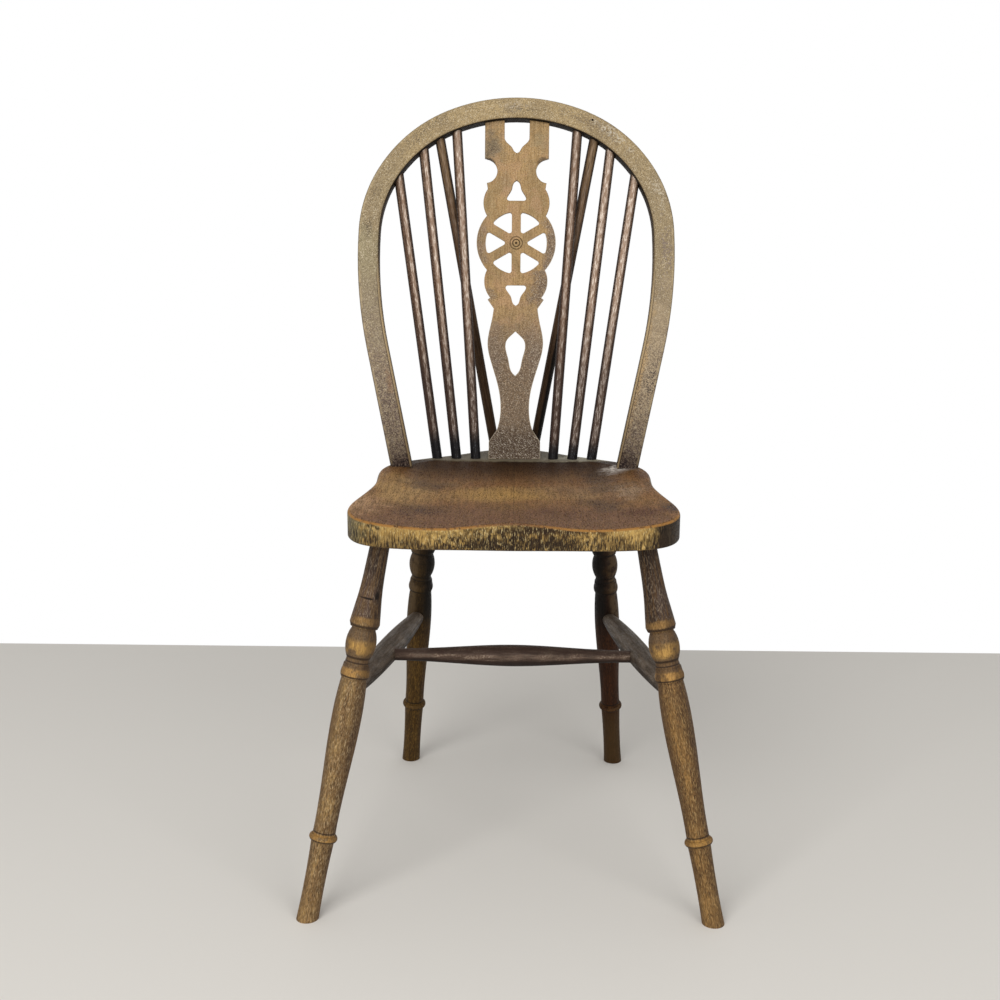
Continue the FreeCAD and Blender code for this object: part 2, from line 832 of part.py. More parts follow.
def dish_cutter():
    """Everything above the saddled surface, for the right board."""
    across = 12
    deep = 18
    first_x = -seat_width * 0.06
    last_x = seat_width * 0.56
    first_depth = -3 * front_bulge
    last_depth = dish_crease_depth + dish_ramp * 0.35
    rows = []
    for i in range(across + 1):
        x = first_x + (last_x - first_x) * i / across
        depths = [first_depth + (last_depth - first_depth) * j / deep for j in range(deep + 1)]
        rows.append([Vector(x, seat_y(depth), dish_height(x, depth)) for depth in depths])
    surface = Part.BSplineSurface()
    surface.interpolate(rows)
    return surface.toShape().extrude(Vector(0, 0, seat_thickness))


def dowel_line(set_back):
    height = seat_underside + dowel_height
    half = dowel_length / 2
    return Vector(-half, seat_y(set_back), height), Vector(half, seat_y(set_back), height)


def dowel_hole(set_back):
    start, end = dowel_line(set_back)
    radius = dowel_diameter / 2 + glue_fit
    return rod(along(start, end, -socket_end_gap), along(end, start, -socket_end_gap), radius)


def seat_joint_dowels():
    dowels = []
    for set_back in dowel_setbacks:
        start, end = dowel_line(set_back)
        dowels.append(rod(start, end, dowel_diameter / 2))
    return Part.makeCompound(dowels)


def on_outline(edge):
    """True for an edge that reaches the widest place or the bobtail, which the dish's crease doesn't."""
    box = edge.BoundBox
    return box.XMax > hip_width / 2 + seat_top_round or box.YMax > seat_y(tail_depth)


def off_glue_line(edge):
    return edge.BoundBox.XLength > seat_top_round


def bottom_rim(blank):
    return [edge for edge in blank.Edges if edge.BoundBox.ZMax < seat_height and off_glue_line(edge)]


def top_rim(board):
    lowest = seat_height - max(thigh_drop, dish_depth) - seat_top_round
    edges = [edge for edge in board.Edges if edge.BoundBox.ZMin > lowest and off_glue_line(edge)]
    return [edge for edge in edges if on_outline(edge)]


def seat_board():
    """The right board: outline, saddled top, rounded edges and every socket."""
    front = Vector(0, seat_y(-front_bulge), 0)
    tail = Vector(0, seat_y(seat_depth), 0)
    blank = face_of([seat_outline(), line(front, tail)]).extrude(Vector(0, 0, seat_thickness))
    blank.translate(Vector(0, 0, seat_underside))
    board = blank.makeFillet(seat_bottom_round, bottom_rim(blank))
    board = board.cut(dish_cutter())
    board = board.makeFillet(seat_top_round, top_rim(board))
    holes = [leg_socket("front"), leg_socket("rear"), bow_tenon(glue_fit), brace(glue_fit), splat_mortise()]
    holes += [spindle(name, glue_fit) for name in spindle_names]
    holes += [dowel_hole(set_back) for set_back in dowel_setbacks]
    return board.cut(holes)


def main():
    os.makedirs("parts", exist_ok=True)
    board = seat_board()
    stretcher = side_stretcher()
    wedge = bow_wedge()
    legs = {which: leg(which) for which in ("front", "rear")}
    for side in sides:
        save("seat_board_" + side, side_of(side, board))
        save("brace_" + side, side_of(side, brace()))
        save("side_stretcher_" + side, side_of(side, stretcher))
        save("bow_wedge_" + side, side_of(side, wedge))
        for name in spindle_names:
            save("spindle_" + side + "_" + name, side_of(side, spindle(name)))
        for which, shape in legs.items():
            save("leg_" + which + "_" + side, side_of(side, shape))
    save("back_bow", back_bow())
    save("wheel_splat", wheel_splat())
    save("cross_stretcher", cross_stretcher())
    save("seat_joint_dowels", seat_joint_dowels())


main()
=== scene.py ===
# %% [markdown]
# A wheelback chair, as found in an old kitchen. The solids come finished from the CAD model, so this lesson
# is about the surfaces: stained elm, ash and beech that hands, clothes and a century of wax have rubbed pale
# in some places and left nearly black in others.

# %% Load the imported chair
import math

import bpy
from mathutils import Matrix, Vector


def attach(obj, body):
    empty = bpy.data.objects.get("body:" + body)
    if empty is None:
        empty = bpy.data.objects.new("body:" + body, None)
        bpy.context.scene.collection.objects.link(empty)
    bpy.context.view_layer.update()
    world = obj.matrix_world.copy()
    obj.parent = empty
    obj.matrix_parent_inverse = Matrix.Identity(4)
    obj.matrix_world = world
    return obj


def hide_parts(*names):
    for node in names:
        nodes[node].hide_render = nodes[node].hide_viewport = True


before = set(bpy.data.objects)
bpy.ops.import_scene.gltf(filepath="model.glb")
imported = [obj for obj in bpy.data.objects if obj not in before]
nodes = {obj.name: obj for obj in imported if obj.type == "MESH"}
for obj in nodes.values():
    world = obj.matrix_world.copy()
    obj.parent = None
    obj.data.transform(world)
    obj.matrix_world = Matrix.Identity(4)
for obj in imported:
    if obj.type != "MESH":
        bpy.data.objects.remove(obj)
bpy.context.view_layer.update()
MM = 0.001

# %% [markdown]
# The camera stands where the photographer stood, at about the height of the wheel in the back, and looks
# a little down. Its place and turn were fitted to the feet, the seat and the bow. A matrix keeps the three
# turns apart: first round the upright axis, then the tilt, then the small roll of the hand-held camera.

# %% Camera
PHOTO_WIDTH_PX = 1000
FOCAL_LENGTH_PX = 1350
SENSOR_MM = 36
camera_place = Vector((1.6, -1581.5, 790.2)) * MM
camera_turn = math.radians(0.66)
camera_tilt = math.radians(90 - 12.834)
camera_roll = math.radians(0.365)

camera_data = bpy.data.cameras.new("photographer")
camera_data.sensor_width = SENSOR_MM
camera_data.lens = FOCAL_LENGTH_PX * SENSOR_MM / PHOTO_WIDTH_PX
camera = bpy.data.objects.new("photographer", camera_data)
bpy.context.collection.objects.link(camera)
turn = Matrix.Rotation(camera_turn, 4, "Z") @ Matrix.Rotation(camera_tilt, 4, "X")
camera.matrix_world = Matrix.Translation(camera_place) @ turn @ Matrix.Rotation(camera_roll, 4, "Z")
bpy.context.scene.camera = camera
print("Lens", round(camera_data.lens, 1), "mm")

# %% [markdown]
# Every finish below is a net of shader nodes. Two helpers keep them readable: one turns the hex colours of
# a paint chart into the linear values that the renderer adds up, and one adds a node with its settings and
# whatever feeds it, and hands back its outgoing socket, so that a net can be written like a sum.


# %% Colour and node helpers
def linear(chart_colour):
    """A colour written as #rrggbb, as the renderer needs it."""
    channels = [int(chart_colour[i:i + 2], 16) / 255 for i in (1, 3, 5)]
    return tuple(c / 12.92 if c <= 0.04045 else ((c + 0.055) / 1.055) ** 2.4 for c in channels) + (1.0,)


def add(tree, kind, feeds=None, **settings):
    """Adds one node. A feed is a number, a colour or a socket, for an inlet by name or by its place."""
    node = tree.nodes.new(kind)
    for name, value in settings.items():
        setattr(node, name, value)
    for inlet, value in (feeds or {}).items():
        if isinstance(inlet, int):
            socket = node.inputs[inlet]
        else:
            socket = next(s for s in node.inputs if s.enabled and s.name == inlet)
        if isinstance(value, bpy.types.NodeSocket):
            tree.links.new(value, socket)
        else:
            socket.default_value = linear(value) if isinstance(value, str) else value
    return next(s for s in node.outputs if s.enabled)


print("Mid grey #808080 is", round(linear("#808080")[0], 3), "in linear light")

# %% [markdown]
# Wood needs a direction. Each stick, leg and stretcher gets a space of its own, in metres, whose origin is
# at the foot of the piece and whose third axis runs up the grain, so that its grain climbs with it. The two
# ends are measured from the solid itself, as the middles of its lowest and highest slices, which is safer
# than repeating the joiner's numbers.


# %% Spaces along the pieces
END_SLICE = 0.03  # as a share of the piece's length


def ends_of(node_name, axis=2):
    """The middles of the two end slices of a long piece, across the given axis."""
    points = [v.co for v in nodes[node_name].data.vertices]
    low, high = min(p[axis] for p in points), max(p[axis] for p in points)
    ends = []
    for level, sign in ((low, 1), (high, -1)):
        piece_slice = [p for p in points if (p[axis] - level) * sign < (high - low) * END_SLICE]
        middle = [(min(p[i] for p in piece_slice) + max(p[i] for p in piece_slice)) / 2 for i in range(3)]
        ends.append(Vector(middle))
    return ends


def along_piece(tree, foot, top):
    """Coordinates with their origin at the foot of a piece and their Z axis up to its top."""
    upright = (top - foot).rotation_difference(Vector((0, 0, 1)))
    in_chair = add(tree, "ShaderNodeTexCoord").node.outputs["Object"]
    return add(tree, "ShaderNodeMapping", {
        "Vector": in_chair,
        "Location": -(upright @ foot),
        "Rotation": upright.to_euler(),
    })


foot, top = ends_of("leg_front_left")
print("Left front leg from", [round(c / MM) for c in foot], "to", [round(c / MM) for c in top], "mm")

# %% [markdown]
# Old wood is a few patterns over each other. Patches are where wax, dirt and light have worked unevenly.
# Streaks follow the grain, long for the grain itself and short for the open pores of elm and ash. A zone is
# a stretch between two marks, such as the dark foot of a stick, and a spot is one stain or bruise. Each comes
# out as a mask from 0 to 1, and each is sized in millimetres. Real pores and specks are a tenth to a half of
# a millimetre wide, which is too fine to show in the render, where a millimetre of the chair is less than a
# pixel. So they are drawn about one millimetre wide, as coarse as they need to be to show.


# %% Patterns of old wood
RAGGED_DETAIL = 4.0  # octaves of the noise that frays an edge


def patches(tree, place, size_mm, bare, full, seed=0.0, detail=3.0):
    """Blotches of about this size. Raising bare and full makes them rarer."""
    noise = add(tree, "ShaderNodeTexNoise", {
        "Vector": place, "W": seed, "Scale": 1 / (size_mm * MM), "Detail": detail,
    }, noise_dimensions="4D")
    return add(tree, "ShaderNodeMapRange", {
        "Value": noise, "From Min": bare, "From Max": full,
    }, interpolation_type="SMOOTHSTEP")


def streaks(tree, place, width_mm, length_mm, bare, full, seed=0.0):
    """Lines along the grain, of about this width and length."""
    shrunk = add(tree, "ShaderNodeMapping", {
        "Vector": place,
        "Scale": (1 / (width_mm * MM), 1 / (width_mm * MM), 1 / (length_mm * MM)),
    })
    return patches(tree, shrunk, 1 / MM, bare, full, seed)


def zone(tree, distance, start_mm, full_mm, ragged_mm=0.0, place=None, wander_mm=9.0):
    """0 at one mark and 1 at the other. Its edge wanders by ragged_mm."""
    if ragged_mm:
        noise = add(tree, "ShaderNodeTexNoise", {
            "Vector": place, "Scale": 1 / (wander_mm * MM), "Detail": RAGGED_DETAIL,
        })
        distance = add(tree, "ShaderNodeMath", {
            0: noise, 1: 4 * ragged_mm * MM, 2: distance,
        }, operation="MULTIPLY_ADD")
    return add(tree, "ShaderNodeMapRange", {
        "Value": distance,
        "From Min": (start_mm + 2 * ragged_mm) * MM,
        "From Max": (full_mm + 2 * ragged_mm) * MM,
    }, interpolation_type="SMOOTHSTEP")


def spot(tree, place, middle_mm, reach_mm, soft=0.5, ragged=0.8, wander_mm=9.0):
    """A ragged patch round one point, 1 at its middle and 0 past its reach."""
    nearer = add(tree, "ShaderNodeMapping", {
        "Vector": place,
        "Location": [-m / r for m, r in zip(middle_mm, reach_mm)],
        "Scale": [1 / (r * MM) for r in reach_mm],
    })
    distance = add(tree, "ShaderNodeVectorMath", {0: nearer}, operation="LENGTH")
    noise = add(tree, "ShaderNodeTexNoise", {
        "Vector": place, "Scale": 1 / (wander_mm * MM), "Detail": RAGGED_DETAIL,
    })
    wandering = add(tree, "ShaderNodeMath", {0: noise, 1: 2 * ragged, 2: distance}, operation="MULTIPLY_ADD")
    return add(tree, "ShaderNodeMapRange", {
        "Value": wandering, "From Min": 1 + ragged, "From Max": 1 + ragged - soft,
    }, interpolation_type="SMOOTHSTEP")


def worn_edge(tree, reach_mm):
    """1 along sharp edges, found by how much a rounded normal would differ from the real one."""
    rounded = add(tree, "ShaderNodeBevel", {"Radius": reach_mm * MM}, samples=6)
    real = add(tree, "ShaderNodeNewGeometry").node.outputs["Normal"]
    likeness = add(tree, "ShaderNodeVectorMath", {0: rounded, 1: real}, operation="DOT_PRODUCT")
    return add(tree, "ShaderNodeMapRange", {"Value": likeness, "From Min": 0.99, "From Max": 0.86})


print("A pattern of one millimetre has a scale of", round(1 / MM))

# %% [markdown]
# A finish is built as a polisher would: one ground colour, then coats, each as strong as its number times
# all of its masks. Gloss and bump follow the same masks, because an open pore is both darker and lower. Wax
# over wood has an IOR near 1.5, but a century of scratches scatters most of its gloss, so the specular level
# is held down.


# %% Coats, gloss and bump
WAX_IOR = 1.5
BUMP_STRENGTH = 0.7


def new_finish(name):
    """An empty material, its net and its shader."""
    material = bpy.data.materials.new(name)
    material.use_nodes = True
    tree = material.node_tree
    return material, tree, tree.nodes["Principled BSDF"]


def lay_coats(tree, colour, coats):
    """Lays coats over a ground. Each is a colour, a strength and any number of masks."""
    for stain, strength, *masks in coats:
        for mask in masks:
            strength = add(tree, "ShaderNodeMath", {0: strength, 1: mask}, operation="MULTIPLY")
        colour = add(tree, "ShaderNodeMix", {"Factor": strength, "A": colour, "B": stain}, data_type="RGBA")
    return colour


def polish(tree, shader, colour, hollows, depth_mm=0.15, roughness=(0.48, 0.72), specular=0.15):
    """Sets colour, gloss and bump. Hollows are masks of what lies below the surface."""
    tree.links.new(colour, shader.inputs["Base Color"])
    low = hollows[0]
    for more in hollows[1:]:
        low = add(tree, "ShaderNodeMath", {0: low, 1: more}, operation="ADD")
    dullness = add(tree, "ShaderNodeMapRange", {"Value": low, "To Min": roughness[0], "To Max": roughness[1]})
    tree.links.new(dullness, shader.inputs["Roughness"])
    bump = add(tree, "ShaderNodeBump", {
        "Height": low, "Strength": BUMP_STRENGTH, "Distance": depth_mm * MM,
    }, invert=True)
    tree.links.new(bump, shader.inputs["Normal"])
    shader.inputs["IOR"].default_value = WAX_IOR
    shader.inputs["Specular IOR Level"].default_value = specular


def dress(node_name, material):
    """Gives a solid its finish."""
    solid = nodes[node_name]
    solid.data.materials.clear()
    solid.data.materials.append(material)
    print("Dressed", node_name, "in", material.name)


print("Wax has an IOR of", WAX_IOR)

# %% [markdown]
# The bow is one ash stick, steamed and bent, so its grain runs round with it, and no straight coordinates
# can follow it. Its solid is copied, and every point of the copy keeps a note of three distances: outwards
# across the bow, forwards through it, and along it from the top of the crown. The finish reads that note.
# The arcs are the joiner's own four, from the crown down, with a straight leg below them.

# %% The bow's own measure
SEAT_HEIGHT_MM = 458.0
BOW_WIDTH_MM = 26.0
BOW_LEAN = math.radians(11.8)
BOW_FOOT_Y_MM = 70.8
BOW_RISE_MM = 454.4
BOW_HALF_MM = BOW_WIDTH_MM / 2  # the bow is as thick as it is wide
BOW_ARCS = [(230.0, 21.9), (180.0, 36.8), (159.0, 28.0), (558.0, 15.2)]  # outer radius in mm, degrees

stand_up = Matrix.Rotation(math.pi / 2 - BOW_LEAN, 3, "X")
bow_origin = Vector((0, BOW_FOOT_Y_MM, SEAT_HEIGHT_MM))


def bow_chain():
    """Centre, middle radius, first and last angle, and distance from the crown, of each arc."""
    chain = []
    centre = Vector((0.0, BOW_RISE_MM - BOW_ARCS[0][0]))
    heading, gone, last_radius = 0.0, 0.0, BOW_ARCS[0][0]
    for radius, degrees in BOW_ARCS:
        centre = centre + (last_radius - radius) * Vector((math.sin(heading), math.cos(heading)))
        sweep = math.radians(degrees)
        middle_radius = radius - BOW_HALF_MM
        chain.append((centre, middle_radius, heading, heading + sweep, gone))
        gone += middle_radius * sweep
        heading += sweep
        last_radius = radius
    return chain


CHAIN = bow_chain()


def bow_note(point):
    """Across, forwards and along, in metres, of a point of the chair."""
    flat = stand_up.transposed() @ (point / MM - bow_origin)
    side = 1 if flat.x >= 0 else -1
    spot_on_plane = Vector((abs(flat.x), flat.y))
    for centre, radius, first, last, gone in CHAIN:
        arm = spot_on_plane - centre
        angle = math.atan2(arm.x, arm.y)
        if angle <= last:
            return Vector((arm.length - radius, flat.z, side * (gone + (angle - first) * radius))) * MM
    outwards = Vector((math.sin(last), math.cos(last)))
    down = Vector((math.cos(last), -math.sin(last)))
    start = centre + radius * outwards
    gone += radius * (last - first)
    arm = spot_on_plane - start
    return Vector((arm.dot(outwards), flat.z, side * (gone + arm.dot(down)))) * MM


MERGE_WITHIN_MM = 0.01
SMOOTH_UP_TO = math.radians(25)

bpy.ops.object.select_all(action="DESELECT")
bow = nodes["back_bow"].copy()
bow.data = nodes["back_bow"].data.copy()
bow.name = "bent_bow"
bpy.context.collection.objects.link(bow)
bpy.context.view_layer.objects.active = bow
bow.select_set(True)
bpy.ops.object.mode_set(mode="EDIT")
bpy.ops.mesh.select_all(action="SELECT")
bpy.ops.mesh.remove_doubles(threshold=MERGE_WITHIN_MM * MM)
bpy.ops.object.mode_set(mode="OBJECT")
bpy.ops.object.shade_smooth_by_angle(angle=SMOOTH_UP_TO)

note = bow.data.attributes.new("round_the_bow", "FLOAT_VECTOR", "POINT")
for vertex, entry in zip(bow.data.vertices, note.data):
    entry.vector = bow_note(vertex.co)
bow_reach = max(entry.vector.z for entry in note.data)
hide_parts("back_bow")
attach(bow, "root")
print("Bow of", len(bow.data.vertices), "points, half its length is", round(bow_reach / MM), "mm")

# %% [markdown]
# The patterns of the bow come first: specks and pores, long grain, then stretches down the bow, in
# millimetres from the crown, and lines along it, in millimetres from its middle. They are masks, so a coat
# can be laid on the low part of the legs alone, or on the inner face near the crown.

# %% Patterns on the bow
material, tree, shader = new_finish("waxed_ash_bow")
place = add(tree, "ShaderNodeAttribute", attribute_name="round_the_bow").node.outputs["Vector"]
parts = add(tree, "ShaderNodeSeparateXYZ", {0: place}).node.outputs
across, forwards, along = parts["X"], parts["Y"], parts["Z"]
from_crown = add(tree, "ShaderNodeMath", {0: along}, operation="ABSOLUTE")

# specks and pores are drawn coarse: the real ones are 0.2 to 0.4 mm wide
specks = patches(tree, place, 1.1, 0.50, 0.60, seed=1.0, detail=2.0)
dense_specks = patches(tree, place, 1.3, 0.46, 0.56, seed=7.0, detail=2.0)
pale_specks = patches(tree, place, 1.3, 0.56, 0.65, seed=2.0, detail=2.0)
pores = streaks(tree, place, 0.9, 5.0, 0.56, 0.66, seed=3.0)
grain = streaks(tree, place, 2.2, 60.0, 0.45, 0.72, seed=4.0)
cloud = patches(tree, place, 34.0, 0.42, 0.62, seed=5.0)
mottle = patches(tree, place, 2.6, 0.46, 0.58, seed=6.0, detail=4.0)
shoulder = zone(tree, from_crown, 110, 240, 30, place, 60)
low_leg = zone(tree, from_crown, 280, 480, 30, place, 60)
foot_dark = zone(tree, from_crown, 530, 562, 10, place, 14)
foot_end = zone(tree, from_crown, 560, 580, 8, place, 8)
inner_side = zone(tree, across, 1.4 - BOW_HALF_MM, 0.2 - BOW_HALF_MM)
outer_side = zone(tree, across, BOW_HALF_MM - 1.2, BOW_HALF_MM - 0.2)
near_crown = zone(tree, from_crown, 330, 180, 30, place, 40)
down_leg = zone(tree, from_crown, 270, 380, 20, place, 40)
near_front = zone(tree, forwards, 3.0, 6.0, 0.8, place, 12)
inner_line = add(tree, "ShaderNodeMath", {
    0: zone(tree, across, -9.6, -10.3), 1: zone(tree, across, -11.4, -10.8),
}, operation="MULTIPLY")
outer_line = add(tree, "ShaderNodeMath", {
    0: zone(tree, across, 8.8, 10.2), 1: zone(tree, across, 12.4, 11.2),
}, operation="MULTIPLY")
depths = [round(entry.vector.y / MM) for entry in note.data]
print("Through the bow from", min(depths), "to", max(depths), "mm")

# %% [markdown]
# On the bow the stain has worn to a tan with fine dark specks, and it darkens to a mottled purple brown at
# the feet, where no hand rubs. The side faces are painted darker as shade, the inside ones over their dirt,
# and near the crown the inside faces are painted nearly black as shade. Lower down the inner edge is
# rubbed to gold beside a thin dark line. There is one worm hole on the right shoulder.


# %% Waxed ash for the bow
def front_mark(aside_mm, along_mm, half_width_mm, half_length_mm, **edge):
    """A stain on the front face of the bow, which fades towards the back."""
    reach_mm = (half_width_mm, BOW_HALF_MM - 1, half_length_mm)
    return spot(tree, place, (aside_mm, BOW_HALF_MM, along_mm), reach_mm, **edge)


worm_hole = spot(tree, place, (5.5, BOW_HALF_MM, 93.5), (1.7, 4, 1.7), soft=0.4, ragged=0.1)
colour = lay_coats(tree, "#ad9770", [
    ("#9c8867", 0.8, cloud),
    ("#93846a", 0.6, shoulder),
    ("#9c9477", 0.5, front_mark(0, -330, 24, 90, wander_mm=30)),
    ("#887459", 0.35, grain),
    ("#5a4d3c", 0.6, specks),
    ("#5a4d40", 0.4, pores),
    ("#d6c8ad", 0.6, pale_specks),
    ("#b9aa94", 0.6, mottle, front_mark(2, 0, 8, 24, soft=0.9)),
    ("#4f463d", 0.6, dense_specks, front_mark(-1, 6, 10, 26, soft=0.9)),
    ("#4f463d", 0.5, dense_specks, front_mark(2, -212, 8, 16, soft=0.9)),
    ("#453d36", 0.8, dense_specks, front_mark(0, -258, 10, 22, soft=0.9)),
    ("#4f463d", 0.55, dense_specks, front_mark(3, -120, 13, 60, soft=0.9)),
    ("#7d6f6a", 0.7, mottle, front_mark(3, 292, 15, 62, soft=0.9)),
    ("#574b43", 0.6, dense_specks, front_mark(2, 100, 14, 70, soft=0.9)),
    ("#cdc3b0", 0.7, mottle, front_mark(4, 122, 8, 36, soft=0.9)),
    ("#cdc3b0", 0.5, mottle, front_mark(4, 215, 8, 26, soft=0.9)),
    ("#9a8973", 0.85, low_leg),
    ("#74645f", 0.7, low_leg, mottle),
    ("#b09c7e", 0.7, front_mark(0, 425, 22, 120, soft=0.9, wander_mm=20)),
    ("#b8996b", 0.7, front_mark(-9, 440, 6, 120, soft=0.9, wander_mm=12)),
    ("#4c403b", 0.7, low_leg, dense_specks),
    ("#cbbda2", 0.6, low_leg, pale_specks),
    ("#423a3a", 0.75, dense_specks, front_mark(5, 446, 9, 30, soft=0.9)),
    ("#946f4f", 0.4, front_mark(-7, -452, 6, 22, soft=0.9, wander_mm=4)),
    ("#4c3e3a", 0.9, foot_dark),
    ("#241b1f", 0.85, foot_dark, mottle),
    ("#b09f8e", 0.75, foot_dark, pale_specks),
    ("#2a2226", 0.85, foot_end),
    # painted shade: the side faces darker; the inner faces also carry dirt, and near the crown they are
    # painted nearly black as shade
    ("#5a4733", 0.85, outer_side),
    ("#4a3827", 0.95, inner_side),
    ("#140f0b", 0.9, inner_side, near_crown),
    ("#c2aa82", 0.9, zone(tree, across, -10.6, -11.3), down_leg, near_front),
    ("#43352a", 0.7, inner_line, down_leg),
    ("#baa682", 0.55, outer_line, shoulder, patches(tree, place, 12.0, 0.42, 0.58, seed=8.0)),
    ("#0d0a08", 1.0, worm_hole),
])
polish(tree, shader, colour, [specks, pores], roughness=(0.64, 0.82), specular=0.08)
bow.data.materials.clear()
bow.data.materials.append(material)
print("The bow wears", material.name)

# %% [markdown]
# The splat is a flat beech board, fretted with a saw. Its upright space has X across the board and Z up it.
# The bruises are gathered into one mask, because several coats need them, and the two rings that the lathe
# left on the hub are found by their distance from its middle.

# %% Patterns on the splat
HUB_HEIGHT_MM = 271.6
HUB_RINGS = ((7.7, 0.6), (4.4, 0.9))  # radius in mm, and how dark the wax in the groove is
HUB_RING_REACH_MM = (1.0, 0.3)  # where the groove's edge starts, and where it is at full depth
THROUGH_BOARD_MM = 20
material, tree, shader = new_finish("waxed_beech_splat")
foot, top = ends_of("wheel_splat")
foot, top = Vector((0, foot.y, SEAT_HEIGHT_MM * MM)), Vector((0, top.y, top.z))
place = along_piece(tree, foot, top)
parts = add(tree, "ShaderNodeSeparateXYZ", {0: place}).node.outputs
across, up = parts["X"], parts["Z"]
off_middle = add(tree, "ShaderNodeMath", {0: across}, operation="ABSOLUTE")

# grain, specks and scratches are drawn coarse: the real ones are 0.1 to 0.3 mm wide
fine_grain = streaks(tree, place, 0.9, 26.0, 0.44, 0.62, seed=11.0)
specks = patches(tree, place, 1.1, 0.50, 0.60, seed=12.0, detail=2.0)
dense_specks = patches(tree, place, 1.2, 0.45, 0.56, seed=17.0, detail=2.0)
flecks = patches(tree, place, 1.0, 0.57, 0.63, seed=13.0, detail=2.0)
cloud = patches(tree, place, 26.0, 0.42, 0.62, seed=14.0)
mottle = patches(tree, place, 3.2, 0.45, 0.58, seed=15.0, detail=4.0)
lower = zone(tree, up, 205, 120, 18, place, 30)
at_foot = zone(tree, up, 62, 20, 10, place, 14)
slanting = add(tree, "ShaderNodeMapping", {"Vector": place, "Rotation": (0, math.radians(55), 0)})
scratches = streaks(tree, slanting, 0.6, 3.6, 0.59, 0.63, seed=16.0)
edge = worn_edge(tree, 1.6)


def board_mark(aside_mm, up_mm, half_width_mm, half_height_mm, **edge):
    """A stain that goes right through the board and shows on both faces."""
    reach_mm = (half_width_mm, THROUGH_BOARD_MM, half_height_mm)
    return spot(tree, place, (aside_mm, 0, up_mm), reach_mm, **edge)


bruises = lay_coats(tree, "#000000", [
    ("#ffffff", 0.95, board_mark(46, 262, 19, 54, soft=0.7)),
    ("#ffffff", 0.95, board_mark(32, 212, 24, 36, soft=0.7)),
    ("#ffffff", 0.6, board_mark(-46, 262, 14, 44, soft=0.8)),
    ("#ffffff", 0.6, board_mark(-34, 208, 12, 14, soft=0.8)),
])
from_hub = add(tree, "ShaderNodeVectorMath", {
    0: add(tree, "ShaderNodeCombineXYZ", {
        "X": across,
        "Y": add(tree, "ShaderNodeMath", {0: up, 1: HUB_HEIGHT_MM * MM}, operation="SUBTRACT"),
    }),
}, operation="LENGTH")
start, full = HUB_RING_REACH_MM
turned_rings = [
    ("#3d2e1b", strength,
     zone(tree, from_hub, radius - start, radius - full), zone(tree, from_hub, radius + start, radius + full))
    for radius, strength in HUB_RINGS
]
print("The hub is", HUB_HEIGHT_MM, "mm up the splat")

# %% [markdown]
# Backs have polished the top of the splat to a warm tan with a fine upright grain. The right rim of the
# wheel and the lobe under it are bruised purple brown, and the lower half is mottled down to a dark,
# scratched foot.

# %% Waxed beech for the splat
colour = lay_coats(tree, "#af8f62", [
    ("#9a8059", 0.8, cloud),
    ("#978763", 0.65, board_mark(-38, 322, 16, 30, soft=0.9)),
    ("#aa8f72", 0.5, board_mark(-12, 345, 10, 20, soft=0.9)),
    ("#8d7a58", 0.6, board_mark(-44, 290, 14, 26, soft=0.9)),
    ("#806540", 0.6, fine_grain),
    ("#b8906f", 0.35, patches(tree, place, 14.0, 0.48, 0.62, seed=18.0)),
    ("#7d705b", 0.8, board_mark(-30, 392, 18, 34, soft=0.8)),
    ("#8f8062", 0.6, board_mark(30, 398, 16, 20, soft=0.9)),
    ("#453a30", 0.75, dense_specks, board_mark(-32, 392, 13, 28, soft=0.9)),
    ("#352a21", 0.9, board_mark(-34, 371, 12, 7)),
    ("#463a2f", 0.75, board_mark(33, 371, 9, 6)),
    ("#84705c", 0.85, bruises),
    ("#473833", 0.75, bruises, dense_specks),
    ("#8a7660", 0.9, lower),
    ("#8b7a6a", 0.7, lower, zone(tree, off_middle, 12, 24, 4, place, 12)),
    ("#4b3d34", 0.85, lower, dense_specks),
    ("#6d5b49", 0.5, lower, mottle),
    ("#42342b", 0.9, at_foot),
    ("#d8ccbc", 0.85, flecks, bruises),
    ("#c8bba8", 0.6, flecks, board_mark(30, 130, 20, 90, soft=0.9)),
    ("#c6b8a8", 0.5, flecks, lower),
    ("#e0d4c2", 0.85, scratches, at_foot),
    ("#1d1512", 0.75, at_foot, specks),
    ("#5f4b32", 0.55, specks),
    ("#cdbd9f", 0.3, flecks),
    ("#d3c4a8", 0.6, edge, lower),
    ("#d6cbb8", 0.7, edge, bruises),
    # painted shade along the cut edges high on the splat, where the board's thickness lies in shade
    ("#4a3a29", 0.7, edge, zone(tree, up, 290, 320)),
] + turned_rings + [
    ("#2e2216", 0.9, zone(tree, from_hub, 2.2, 1.0)),
])
polish(tree, shader, colour, [fine_grain, specks], depth_mm=0.1)
dress("wheel_splat", material)

# %% [markdown]
# The sticks were turned, stained dark and never cleaned between. Down the front of each runs a broken,
# pinkish streak, partly rubbed wear and partly painted highlight set towards the middle of the chair; the
# back keeps the plain stain and the sides are painted dark as shade. The lowest few centimetres, next to the
# seat, are nearly black, with a painted blue sheen. The two braces behind them are browner and were rubbed
# less, and the right one has a black strip where no cloth ever reached.


# %% Stained beech for sticks and braces
# each stick's front streak is partly wear and partly painted highlight, offset towards the middle of the
# chair
STREAKS = {  # which stick: aside in mm, half width in mm, strength
    "spindle_left_inner": (0.6, 4.2, 0.9),
    "spindle_left_middle": (1.2, 3.2, 1.0),
    "spindle_left_outer": (1.4, 2.8, 0.9),
    "spindle_right_inner": (-0.4, 3.2, 0.75),
    "spindle_right_middle": (-0.6, 4.4, 1.1),
    "spindle_right_outer": (-0.8, 4.4, 1.25),
    "brace_left": (0.0, 3.0, 0.12),
    "brace_right": (0.0, 3.0, 0.12),
}
BLACK_STRIPS = {  # on the braces' brown lower part: where each strip starts, aside and up in mm
    "brace_left": [],
    "brace_right": [(-0.2, 26)],
}


